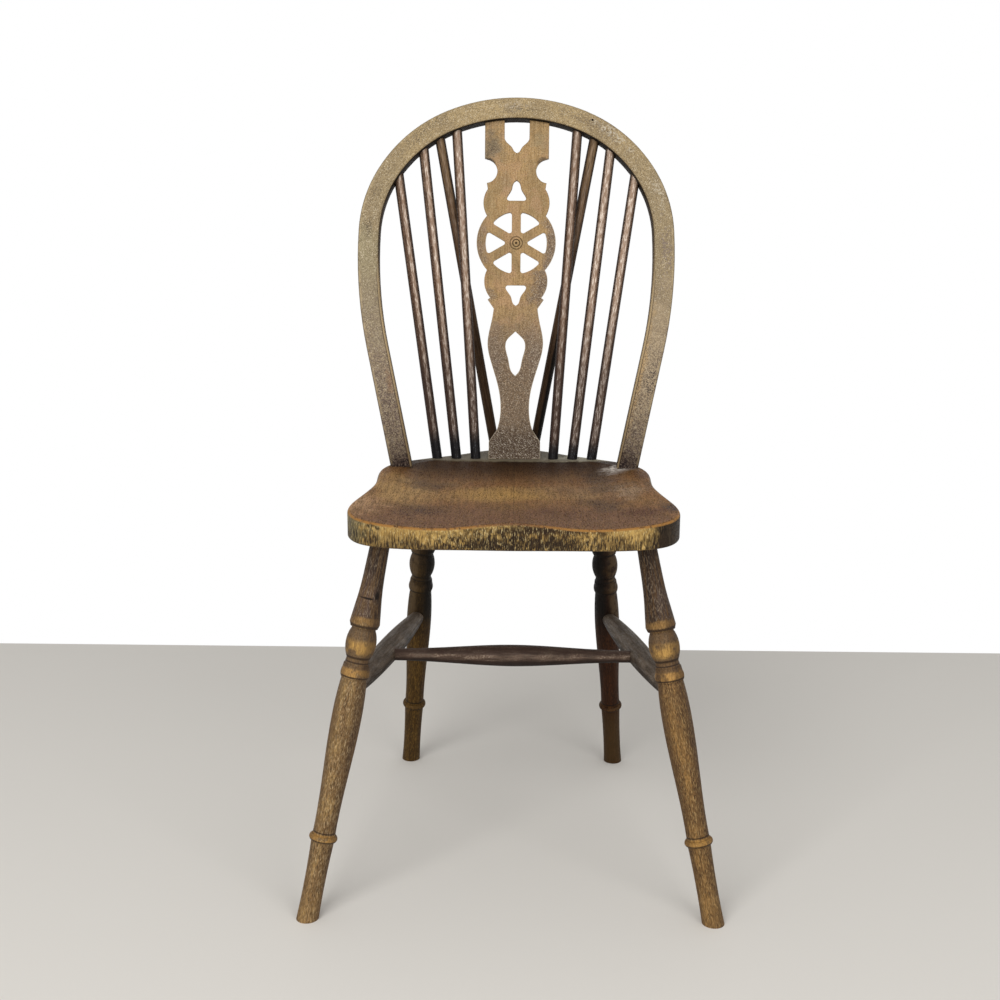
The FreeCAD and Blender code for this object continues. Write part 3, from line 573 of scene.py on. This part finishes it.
def stick_finish(stick, seed, top_colour, foot_mm):
    """A dark stick with a streak of wear and painted highlight, painted side shade and a black foot of
    foot_mm.
    """
    streak_aside, streak_reach, streak_strength = STREAKS[stick]
    material, tree, shader = new_finish("stained_beech_" + stick)
    place = along_piece(tree, *ends_of(stick))
    parts = add(tree, "ShaderNodeSeparateXYZ", {0: place}).node.outputs
    aside, behind, up = parts["X"], parts["Y"], parts["Z"]
    # grain, dashes and specks are drawn coarse: the real ones are 0.1 to 0.4 mm wide
    grain = streaks(tree, place, 1.3, 26.0, 0.42, 0.60, seed=seed)
    dashes = streaks(tree, place, 0.9, 9.0, 0.48, 0.60, seed=seed + 1)
    dark_dashes = streaks(tree, place, 1.0, 14.0, 0.50, 0.60, seed=seed + 2)
    pale_specks = patches(tree, place, 1.2, 0.54, 0.64, seed=seed + 3, detail=2.0)
    off_middle = add(tree, "ShaderNodeMath", {0: aside}, operation="ABSOLUTE")
    off_streak = add(tree, "ShaderNodeMath", {0: aside, 1: streak_aside * MM}, operation="SUBTRACT")
    off_streak = add(tree, "ShaderNodeMath", {0: off_streak}, operation="ABSOLUTE")
    middle = zone(tree, off_streak, streak_reach, 0.3 * streak_reach, 0.4, place, 5)
    front = zone(tree, behind, -1, -4)
    shaded_sides = zone(tree, off_middle, 3.4, 5.2, 0.5, place, 5)
    upper = zone(tree, up, 220, 420, 30, place, 30)
    low = zone(tree, up, 240, 90, 40, place, 40)
    black_foot = zone(tree, up, foot_mm + 26, foot_mm, 6, place, 10)
    coats = [
        (top_colour, 0.8, upper),
        ("#46311f", 0.7, grain),
        ("#33251b", 0.75, dark_dashes),
        # the front streak, partly wear and partly painted highlight: every coat scaled by the streak's
        # strength belongs to it
        ("#a68a74", 0.7 * streak_strength, middle, front),
        ("#e8d8c8", 0.85 * streak_strength, middle, front, dashes),
        ("#4a372b", 0.5, dark_dashes, pale_specks),
        # painted shade: both sides of the stick darkened
        ("#281c15", 0.92, shaded_sides),
        ("#a58f7f", 0.45 * streak_strength, pale_specks, front),
        ("#2d2120", 0.65, low, shaded_sides),
        ("#33251f", 0.8, low),
        ("#cdbcae", 0.35 * streak_strength, low, middle, front, dashes),
        ("#e4d8d0", 0.7 * streak_strength, low, middle, front, dashes, pale_specks),
        ("#0b0b0e", 0.96, black_foot),
        # painted sheen: a blue-grey glint down the front of the black foot
        ("#6f7880", 0.5 * streak_strength, black_foot, middle, front, dashes, pale_specks),
    ]
    if stick in BLACK_STRIPS:
        brown_part = zone(tree, up, 330, 190, 20, place, 40)
        coats += [("#4c3824", 0.85, brown_part), ("#2c1c10", 0.7, brown_part, grain)]
        for start_mm, low_mm in BLACK_STRIPS[stick]:
            past_start = zone(tree, aside, start_mm, start_mm + 1.6, 0.6, place, 12)
            coats.append(("#060403", 0.93, brown_part, past_start, zone(tree, up, low_mm, low_mm + 20)))
    colour = lay_coats(tree, "#5a4030", coats)
    polish(tree, shader, colour, [grain, dark_dashes], roughness=(0.4, 0.62), specular=0.13)
    return material


BLACK_FEET_MM = {"left": (30, 30), "right": (18, 2)}  # how far up the spindles and the brace are black
seed = 20.0
for side, (spindle_foot_mm, brace_foot_mm) in BLACK_FEET_MM.items():
    for name in ("inner", "middle", "outer"):
        stick = "spindle_" + side + "_" + name
        dress(stick, stick_finish(stick, seed, "#7a6350", spindle_foot_mm))
        seed += 5
    brace = "brace_" + side
    dress(brace, stick_finish(brace, seed, "#7d6648", brace_foot_mm))
    seed += 5

# %% [markdown]
# The seat is two elm boards, glued edge to edge and dished by hand. Sitting has worn a golden band across
# the dish, and left the stain dark red at the front hollows. The top darkens towards the back, and behind the
# splat it is painted nearly brown black as the splat's shadow. The figure runs front to back and each board
# has its own, but both share one space, so that a stain can cross the glue line.


# %% Stained elm on top of the seat
TOP_MM = 450  # between the platform and the bottom of the dish
STAIN_DEPTH_MM = 60
GRAIN_ENDS = Vector((0, -0.2, 0.44)), Vector((0, 0.2, 0.44))  # in metres, front and back


def seat_top(tree, place, aside, back, seed):
    """The colour of the top, and the masks of its open grain and scratches."""
    with_grain = along_piece(tree, *GRAIN_ENDS)
    figure = streaks(tree, with_grain, 4.0, 50.0, 0.42, 0.60, seed=seed)
    # fine grain, scratches and pits are drawn coarse: the real ones are 0.2 to 0.5 mm wide
    fine = streaks(tree, with_grain, 1.2, 7.0, 0.48, 0.62, seed=seed + 1)
    scratch = patches(tree, place, 1.2, 0.53, 0.62, seed=seed + 2, detail=2.0)
    pits = patches(tree, place, 1.3, 0.52, 0.62, seed=seed + 12, detail=2.0)
    cloud = patches(tree, place, 30.0, 0.40, 0.62, seed=seed + 3)

    def stain(aside_mm, back_mm, half_width_mm, half_depth_mm, wander_mm, soft=0.9):
        """A soft patch on the top of the seat."""
        reach_mm = (half_width_mm, half_depth_mm, STAIN_DEPTH_MM)
        return spot(tree, place, (aside_mm, back_mm, TOP_MM), reach_mm, soft, wander_mm=wander_mm)

    off_middle = add(tree, "ShaderNodeMath", {0: aside}, operation="ABSOLUTE")
    dish = zone(tree, off_middle, 185, 130, 14, place, 40)
    back_band = zone(tree, back, -10, 90, 14, place, 40)
    front_hollows = zone(tree, back, -90, -150, 10, place, 30)
    ledge = zone(tree, back, 99, 104, 2, place)
    flaked = patches(tree, place, 4.0, 0.42, 0.52, seed=seed + 13)
    # a painted shadow of the splat, on the platform behind it
    painted_splat_shadow = spot(tree, place, (34, 124, TOP_MM), (130, 54, 90), soft=0.9, ragged=0.5, wander_mm=30)
    top = lay_coats(tree, "#865c37", [
        ("#8b653c", 0.7, cloud),
        ("#ad8750", 0.85, stain(-10, -56, 130, 62, 40)),
        ("#bd9352", 0.7, stain(-18, -52, 76, 46, 36, soft=1.0)),
        ("#8d7050", 0.6, stain(72, -34, 60, 56, 40)),
        ("#ba9560", 0.9, stain(-138, -56, 54, 110, 30)),
        ("#b88c50", 0.7, stain(-127, -35, 9, 40, 12)),
        ("#684736", 0.75, front_hollows, dish),
        ("#3d2620", 0.85, stain(-106, -136, 46, 34, 30)),
        ("#7e5c36", 0.7, stain(-4, -128, 40, 34, 30)),
        ("#402c22", 0.85, stain(98, -100, 40, 44, 30)),
        ("#55301e", 0.6, stain(48, -146, 50, 26, 30)),
        ("#4a3a29", 0.75, stain(-104, -6, 50, 42, 20)),
        ("#43352c", 0.6, stain(110, -18, 34, 36, 14)),
        ("#5a4232", 0.6, stain(172, -40, 24, 44, 14)),
        ("#46382f", 0.7, stain(104, 48, 30, 84, 30)),
        ("#a4784c", 0.7, stain(-116, 62, 18, 20, 12)),
        ("#93683d", 0.8, stain(-162, 50, 26, 70, 20)),
        ("#b9926d", 0.9, stain(-178, -130, 48, 60, 14)),
        ("#2f2224", 0.95, stain(178, -138, 24, 36, 14, soft=0.8)),
        ("#a58b70", 0.8, stain(136, -54, 30, 50, 14)),
        ("#48291a", 0.75, stain(156, 12, 24, 48, 14)),
        ("#4b2317", 0.75, stain(140, -150, 44, 24, 20)),
        ("#3b2416", 0.35, figure),
        ("#23150c", 0.55, fine),
        ("#1a0f09", 0.25, pits),
        ("#c29f6c", 0.42, scratch),
        ("#22140b", 0.88, back_band, dish),
        # painted shadow of the splat
        ("#180c07", 0.85, painted_splat_shadow),
        ("#988d84", 0.85, stain(130, 62, 30, 26, 10)),
        ("#cfc6ba", 0.9, stain(128, 66, 22, 18, 5), flaked),
        ("#766d5a", 0.75, ledge),
        ("#aba48f", 0.8, ledge, stain(94, 126, 64, 46, 8)),
    ])
    return top, [fine, scratch]


print("The grain of the seat runs over", round((GRAIN_ENDS[1] - GRAIN_ENDS[0]).length / MM), "mm")

# %% [markdown]
# The front edge shows end grain: ochre, with short upright streaks where the stain soaked in. They crowd
# and blacken in the middle, the left corner is a greenish grey, and the right corner is nearly black.


# %% End grain at the edge of the seat
def seat_edge(tree, place, aside, back, height, seed):
    """The colour of the edge all round."""
    cloud = patches(tree, place, 30.0, 0.40, 0.62, seed=seed + 3)
    clusters = patches(tree, place, 30.0, 0.44, 0.60, seed=seed + 7)
    # the open ends of the grain are drawn coarse too: the real ones are 0.2 to 0.4 mm wide
    soaked = streaks(tree, place, 1.3, 8.0, 0.46, 0.57, seed=seed + 4)
    short = streaks(tree, place, 1.2, 3.6, 0.50, 0.60, seed=seed + 5)
    pale_fibres = streaks(tree, place, 1.0, 5.0, 0.56, 0.64, seed=seed + 6)
    low_edge = zone(tree, height, 446, 431, 5, place, 12)
    right_corner = zone(tree, aside, 138, 160, 8, place, 8)
    left_corner = spot(tree, place, (-188, -166, 436), (56, 74, 50), wander_mm=10)
    dark_middle = spot(tree, place, (0, -217, 434), (118, 30, 30), soft=0.8, ragged=1.0, wander_mm=6)
    black_middle = spot(tree, place, (0, -217, 430), (90, 24, 13), ragged=1.2, wander_mm=5)
    edge = lay_coats(tree, "#bc9b5c", [
        ("#a18149", 0.8, cloud),
        ("#83683b", 0.5, clusters),
        ("#c09c5c", 0.7, spot(tree, place, (82, -214, 440), (50, 30, 30), soft=0.9, wander_mm=12)),
        ("#6c5531", 0.45, soaked),
        ("#43341f", 0.6, soaked, clusters),
        ("#4a3922", 0.4, short),
        ("#33261a", 0.8, dark_middle, streaks(tree, place, 1.6, 7.0, 0.38, 0.52, seed=seed + 9)),
        ("#3a2817", 0.9, spot(tree, place, (50, -215, 448), (72, 30, 10), soft=0.7, wander_mm=6)),
        ("#1f1610", 0.95, black_middle, streaks(tree, place, 1.4, 6.0, 0.40, 0.52, seed=seed + 10)),
        ("#2c2117", 0.8, spot(tree, place, (10, -217, 446), (70, 24, 5), soft=0.7, ragged=1.4, wander_mm=5)),
        ("#6f6446", 0.9, left_corner),
        ("#3e3a2e", 0.85, soaked, spot(tree, place, (-188, -166, 436), (52, 72, 50))),
        ("#2a231a", 0.8, spot(tree, place, (-147, -198, 447), (12, 14, 4), wander_mm=5)),
        ("#d8c18c", 0.6, pale_fibres),
        ("#352b21", 0.97, right_corner),
        ("#4b4034", 0.8, zone(tree, back, -150, -120, 8, place)),
        ("#16110d", 0.8, short, right_corner),
        ("#120d0a", 0.8, soaked, right_corner),
        ("#2c2117", 0.8, soaked, low_edge),
        ("#2c2117", 0.5, clusters, low_edge),
    ])
    return edge


print("The edge hangs below the platform, which is", SEAT_HEIGHT_MM, "mm up")

# %% [markdown]
# Top and edge are joined by which way the surface faces. A thin gold line along the rounded rim, grey at the
# sides, is a painted highlight broken into patches, and a faint dark line follows the glue.


# %% Stained elm for the whole seat
def seat_finish(side, seed):
    """One board's finish: top, edge, underside, painted rim highlight and glue line."""
    material, tree, shader = new_finish("stained_elm_seat_" + side)
    place = add(tree, "ShaderNodeTexCoord").node.outputs["Object"]
    parts = add(tree, "ShaderNodeSeparateXYZ", {0: place}).node.outputs
    aside, back, height = parts["X"], parts["Y"], parts["Z"]
    facing_up = add(tree, "ShaderNodeSeparateXYZ", {
        0: add(tree, "ShaderNodeNewGeometry").node.outputs["Normal"],
    }).node.outputs["Z"]
    on_top = add(tree, "ShaderNodeMapRange", {"Value": facing_up, "From Min": 0.35, "From Max": 0.75})
    below = add(tree, "ShaderNodeMapRange", {"Value": facing_up, "From Min": -0.5, "From Max": -0.9})
    off_middle = add(tree, "ShaderNodeMath", {0: aside}, operation="ABSOLUTE")
    top, hollows = seat_top(tree, place, aside, back, seed)
    edge = seat_edge(tree, place, aside, back, height, seed)
    colour = add(tree, "ShaderNodeMix", {"Factor": on_top, "A": edge, "B": top}, data_type="RGBA")
    # painted highlight along the rounded rim, where the top turns into the edge
    painted_rim_highlight = add(tree, "ShaderNodeMath", {
        0: add(tree, "ShaderNodeMapRange", {"Value": facing_up, "From Min": 0.95, "From Max": 0.85}),
        1: add(tree, "ShaderNodeMapRange", {"Value": facing_up, "From Min": 0.3, "From Max": 0.5}),
    }, operation="MULTIPLY")
    uneven_patches = patches(tree, place, 5.0, 0.36, 0.50, seed=seed + 11)
    at_front = zone(tree, back, -100, -140, 6, place)
    at_sides = zone(tree, back, -140, -100, 6, place)
    seam = zone(tree, off_middle, 0.8, 0.2)
    colour = lay_coats(tree, colour, [
        # the painted rim highlight: gold at the front, grey at the sides
        ("#9e7139", 0.85, painted_rim_highlight, uneven_patches, zone(tree, off_middle, 0, 60, 6, place), at_front),
        ("#7a6f60", 0.7, painted_rim_highlight, uneven_patches, at_sides),
        ("#5d4a38", 0.9, below),
        ("#1d140d", 0.5, seam, patches(tree, place, 14.0, 0.36, 0.52, seed=seed + 8)),
    ])
    polish(tree, shader, colour, hollows, depth_mm=0.2, roughness=(0.5, 0.7), specular=0.1)
    return material


for side, seed in (("left", 60.0), ("right", 70.0)):
    dress("seat_board_" + side, seat_finish(side, seed))

# %% [markdown]
# The legs are turned beech. Boots, brooms and chair rungs have rubbed whatever stands out, so the ball, the
# lip of the collar and the ring near the foot shine golden, while the grooves beside them are packed with
# dark wax. The vase at the top is darkest, and the shaft is a tan full of dark flecks along the grain. Both
# sides of each front leg are painted darker as shade, the right side most, and the inner side of the vase
# darker still. The rear legs are painted plainer and darker as the shade of the seat, and near their tops
# the outer side has a painted highlight and the inner side painted shade.

# %% Stained beech for the legs
LEG_TONES = {  # ground, second tone, pores, pale fibres, vase
    "front_left": ("#9d7e50", "#795d3c", "#2f2218", "#c8b088", "#54423a"),
    "front_right": ("#916d3e", "#6b4f30", "#281c14", "#bb9c69", "#453832"),
    # the rear legs' tones are painted darker as the shade of the seat
    "rear_left": ("#553c14", "#402b0d", "#181006", "#7f6330", "#100b06"),
    "rear_right": ("#3a1c06", "#2c1403", "#0f0703", "#523014", "#120a04"),
}
VASE_FOOT_MM = 341  # heights of the turnings above the foot, along the leg
BALL_MM = 315
BALL_BELLY_MM = 311
COLLAR_MM = 291
LIP_MM = 282.5
FOOT_RING_MM = 94
GROOVES_MM = (  # height and reach
    (334.5, 2.6), (299.0, 2.0), (293.5, 1.2), (277.4, 1.4), (99.0, 1.2), (90.0, 1.2),
)
PAST_THE_LEG_MM = 90  # so wide that a band goes right round
# the rear legs' share of the front legs' rubbed gold and of their painted side shade
REAR_WEAR_AND_SHADE = 0.12  # how much of the front legs' rubbing the rear legs have
OUTWARDS = {"left": -1, "right": 1}


def leg_finish(which, seed):
    """The finish of one leg, with most of the rubbing and the painted side shade on the front ones."""
    material, tree, shader = new_finish("stained_beech_leg_" + which)
    place = along_piece(tree, *ends_of("leg_" + which))
    parts = add(tree, "ShaderNodeSeparateXYZ", {0: place}).node.outputs
    aside, up = parts["X"], parts["Z"]
    ground, second, dark, pale, vase = LEG_TONES[which]
    row, side = which.split("_")
    in_front = row == "front"
    wear_and_shade_share = 1.0 if in_front else REAR_WEAR_AND_SHADE

    # pores and fibres are drawn coarse: the real ones are 0.1 to 0.2 mm wide
    pores = streaks(tree, place, 0.6, 4.5, 0.49, 0.57, seed=seed)
    fibres = streaks(tree, place, 0.7, 5.0, 0.53, 0.61, seed=seed + 1)
    grain = streaks(tree, place, 2.4, 50.0, 0.45, 0.62, seed=seed + 2)
    crowded = streaks(tree, place, 6.0, 60.0, 0.44, 0.58, seed=seed + 3)
    cloud = patches(tree, place, 26.0, 0.42, 0.60, seed=seed + 4)
    in_vase = zone(tree, up, VASE_FOOT_MM, VASE_FOOT_MM + 8, 3, place)
    off_middle = add(tree, "ShaderNodeMath", {0: aside}, operation="ABSOLUTE")
    # masks across the leg: for painted shade on its sides, and for a painted highlight on the rear legs'
    # outer side
    at_sides = zone(tree, off_middle, 6, 14, 1.5, place, 6)
    shaded_right_side = zone(tree, aside, -1, 11, 1.5, place, 8)
    inner_side = shaded_right_side if side == "left" else zone(tree, aside, 4, -7, 1.5, place, 8)
    outwards = add(tree, "ShaderNodeMath", {0: aside, 1: OUTWARDS[side]}, operation="MULTIPLY")
    outer_side = zone(tree, outwards, 1, 8, 1.5, place, 6)
    uneven_patches = patches(tree, place, 9.0, 0.34, 0.52, seed=seed + 5)

    def band(height_mm, reach_mm, soft=0.5, ragged=0.2):
        """A ring of wear or wax right round the leg."""
        reaches_mm = (PAST_THE_LEG_MM, PAST_THE_LEG_MM, reach_mm)
        return spot(tree, place, (0, 0, height_mm), reaches_mm, soft, ragged)

    ball = band(BALL_MM, 19, soft=0.2, ragged=0.1)
    ball_shine = band(BALL_BELLY_MM, 11, soft=0.7, ragged=0.3)
    collar = band(COLLAR_MM, 9, soft=0.2, ragged=0.1)

    coats = [
        (second, 0.8, cloud),
        (second, 0.8, crowded),
        (dark, 0.3, grain),
        # painted shade: both sides of the leg darker, the right side more
        ("#4d3524", 0.4 * wear_and_shade_share, at_sides),
        ("#3f2c1e", 0.6 * wear_and_shade_share, shaded_right_side),
        (dark, 0.4, pores),
        (dark, 0.45, pores, crowded),
        (pale, 0.5, fibres),
        ("#a8834f", 0.25 * wear_and_shade_share, zone(tree, up, 70, 20, 10, place, 20), uneven_patches),
        (vase, 0.9, in_vase),
        (dark, 0.65, in_vase, grain),
        (dark, 0.3, in_vase, pores),
        # painted shade on the inner side of the vase
        ("#1c130f", 0.85 * wear_and_shade_share, in_vase, inner_side),
        ("#251a13", 0.85, in_vase, zone(tree, up, 366, 402, 8, place, 14)),
        ("#b9a68c", 0.3 * wear_and_shade_share, in_vase, fibres),
        ("#5f4d3a", 0.75 * wear_and_shade_share, ball),
        ("#5a4632", 0.75 * wear_and_shade_share, collar),
        ("#bb9250", 0.95 * wear_and_shade_share, ball_shine, uneven_patches),
        ("#b1874b", 0.9 * wear_and_shade_share, band(LIP_MM, 6.0), uneven_patches),
        ("#93703f", 0.7 * wear_and_shade_share, band(VASE_FOOT_MM, 5.5, ragged=0.4), uneven_patches),
        ("#ab8144", 0.8 * wear_and_shade_share, band(FOOT_RING_MM, 4.4), uneven_patches),
        # painted shade again on both sides, and on the right side above the collar
        ("#4d3a29", 0.4 * wear_and_shade_share, at_sides),
        ("#2f2118", 0.45 * wear_and_shade_share, shaded_right_side, zone(tree, up, 270, 280)),
        (second, 0.45, grain),
        (dark, 0.35, pores),
    ]
    if not in_front:
        high = zone(tree, up, 205, 255, 12, place, 20)
        coats += [
            # near the top of the rear legs: painted shade under the seat, a painted highlight on the outer
            # side and painted shade on the inner side
            (vase, 0.6, high),
            ("#5c4a33", 0.55, high, outer_side, uneven_patches),
            ("#0b0704", 0.92, high, inner_side),
        ]
    if which == "rear_right":
        coats.append(("#453318", 0.6, zone(tree, up, 110, 60, 10, place, 20)))
    coats += [(dark, 0.85, band(height, reach, soft=0.7)) for height, reach in GROOVES_MM]
    if which == "front_left":
        # the crack across the vase: a level stretch that turns up at its right end
        for middle_mm, reach_mm in (((-2, -12, 366), (10, 14, 1.5)), ((8, -10, 370), (3, 10, 5))):
            crack = spot(tree, place, middle_mm, reach_mm, soft=0.5, ragged=0.5, wander_mm=4)
            coats.append(("#150d08", 0.95, crack))
    colour = lay_coats(tree, ground, coats)
    polish(tree, shader, colour, [pores, grain], depth_mm=0.2, roughness=(0.48, 0.7))
    return material


seed = 100.0
for which in LEG_TONES:
    dress("leg_" + which, leg_finish(which, seed))
    seed += 10

# %% [markdown]
# The stretchers catch the dust. Their upper sides have a pale band, partly dust and partly painted sheen,
# which stops short of the very top, and their undersides are painted nearly black as shade.


# %% Stained beech for the stretchers, with dust, painted sheen and painted shade
def stretcher_finish(name, ends, tones, dust_and_sheen_from, band_ends_from, seed):
    """Dust and painted sheen where it faces up past the first mark, none past the second; painted shade
    below.
    """
    ground, second, dust_and_sheen, pale_dust_and_sheen = tones
    material, tree, shader = new_finish("stained_beech_" + name)
    place = along_piece(tree, *ends)
    facing_up = add(tree, "ShaderNodeSeparateXYZ", {
        0: add(tree, "ShaderNodeNewGeometry").node.outputs["Normal"],
    }).node.outputs["Z"]
    upper, top, painted_underside_shade = (
        add(tree, "ShaderNodeMapRange", {"Value": facing_up, "From Min": start, "From Max": start + rise})
        for start, rise in ((dust_and_sheen_from, 0.4), (band_ends_from, 0.25), (dust_and_sheen_from, -0.6))
    )
    # speckles and pores are drawn coarse: real dust and pores are 0.1 to 0.3 mm wide
    speckles = patches(tree, place, 1.4, 0.47, 0.58, seed=seed + 4, detail=2.0)
    grain = streaks(tree, place, 2.0, 36.0, 0.42, 0.62, seed=seed)
    pores = streaks(tree, place, 0.9, 4.0, 0.50, 0.60, seed=seed + 1)
    dust_and_sheen_streaks = streaks(tree, place, 4.0, 30.0, 0.40, 0.60, seed=seed + 2)
    cloud = patches(tree, place, 24.0, 0.42, 0.60, seed=seed + 3)
    colour = lay_coats(tree, ground, [
        (second, 0.8, cloud),
        ("#2a1f17", 0.35, grain),
        ("#1f1711", 0.4, pores),
        # the pale band: dust and painted sheen on the side stretchers, painted highlight on the cross
        # stretcher's front face
        (dust_and_sheen, 0.4, upper),
        (dust_and_sheen, 0.5, upper, dust_and_sheen_streaks),
        (pale_dust_and_sheen, 0.5, upper, dust_and_sheen_streaks, speckles),
        ("#2a1f19", 0.6, speckles, cloud),
        # the pale band stops short of the very top
        (ground, 0.75, top),
        # painted shade: the underside nearly black
        ("#17100b", 0.8, painted_underside_shade),
        ("#2a1f17", 0.25, pores),
    ])
    polish(tree, shader, colour, [pores, grain])
    return material


# the third and fourth tones are partly dust and partly painted sheen
SIDE_TONES = ("#43372b", "#2f261e", "#776857", "#9b8f82")  # ground, second tone, dust, pale dust
CROSS_TONES = ("#35261f", "#231916", "#735e50", "#b39f8a")
for name, axis, tones, dust_and_sheen_from, band_ends_from, seed in (
    ("side_stretcher_left", 1, SIDE_TONES, 0.0, 0.75, 150.0),
    ("side_stretcher_right", 1, SIDE_TONES, 0.0, 0.75, 160.0),
    # on the cross stretcher the pale band lies on the front face, where it is painted highlight
    ("cross_stretcher", 0, CROSS_TONES, -0.35, 0.35, 170.0),
):
    dress(name, stretcher_finish(name, ends_of(name, axis), tones, dust_and_sheen_from, band_ends_from, seed))

# %% [markdown]
# The wedges that spread the bow's tenons, and the dowels in the seat's glue line, are of beech that was never
# stained: a pale tan with short dark flecks. Only the wedges' ends show, from below.

# %% Bare beech for wedges and dowels
for name, axis in (("bow_wedge_left", 2), ("bow_wedge_right", 2), ("seat_joint_dowels", 0)):
    material, tree, shader = new_finish("bare_beech_" + name)
    place = along_piece(tree, *ends_of(name, axis))
    grain = streaks(tree, place, 0.8, 14.0, 0.42, 0.62, seed=180.0)
    flecks = streaks(tree, place, 0.5, 3.0, 0.52, 0.62, seed=181.0)
    colour = lay_coats(tree, "#8f6f48", [("#6d5233", 0.6, grain), ("#46331f", 0.6, flecks)])
    polish(tree, shader, colour, [grain, flecks], depth_mm=0.05)
    dress(name, material)

# %% [markdown]
# The studio is a pale floor that ends at a white backdrop. The world is an even dome of light, and two large
# soft lamps in front shape the turnings. The world shows as pure white to the camera and in the gloss of the
# wax, while the light that it sheds is held down by a Light Path node.

# %% Floor, backdrop and light
FLOOR_REACH = 4.0  # metres
FLOOR_BACK_EDGE = 0.70
DOME_LIGHT = 0.46
bpy.ops.object.select_all(action="DESELECT")
bpy.ops.mesh.primitive_plane_add(size=2 * FLOOR_REACH, location=(0, FLOOR_BACK_EDGE - FLOOR_REACH, 0))
floor = bpy.context.object
floor.name = "floor"
floor_paint, tree, shader = new_finish("pale_floor")
shader.inputs["Base Color"].default_value = linear("#e4e0d9")
shader.inputs["Roughness"].default_value = 0.9
shader.inputs["Specular IOR Level"].default_value = 0.1
floor.data.materials.append(floor_paint)

world = bpy.data.worlds.new("studio")
bpy.context.scene.world = world
world.use_nodes = True
tree = world.node_tree
rays = add(tree, "ShaderNodeLightPath").node.outputs
seen = add(tree, "ShaderNodeMath", {0: rays["Is Camera Ray"], 1: rays["Is Glossy Ray"]}, operation="MAXIMUM")
seen = add(tree, "ShaderNodeMath", {0: seen, 1: rays["Is Transmission Ray"]}, operation="MAXIMUM")
level = add(tree, "ShaderNodeMapRange", {"Value": seen, "To Min": DOME_LIGHT, "To Max": 1.0})
background = tree.nodes["Background"]
background.inputs["Color"].default_value = (1, 1, 1, 1)
tree.links.new(level, background.inputs["Strength"])

LAMPS = {  # place, aim, side of the square in metres, watts
    "key": ((-1.1, -2.5, 2.1), (0, 0, 0.5), 1.8, 54),
    "fill": ((1.4, -2.4, 1.4), (0, 0, 0.5), 1.6, 25),
}
for name, (stand, aim, size, watts) in LAMPS.items():
    lamp_data = bpy.data.lights.new(name, "AREA")
    lamp_data.shape = "SQUARE"
    lamp_data.size = size
    lamp_data.energy = watts
    lamp = bpy.data.objects.new(name, lamp_data)
    bpy.context.collection.objects.link(lamp)
    towards = (Vector(aim) - Vector(stand)).to_track_quat("-Z", "Y").to_matrix().to_4x4()
    lamp.matrix_world = Matrix.Translation(stand) @ towards

bpy.context.scene.view_settings.view_transform = "Standard"
print("Lit by the dome and", len(LAMPS), "lamps")
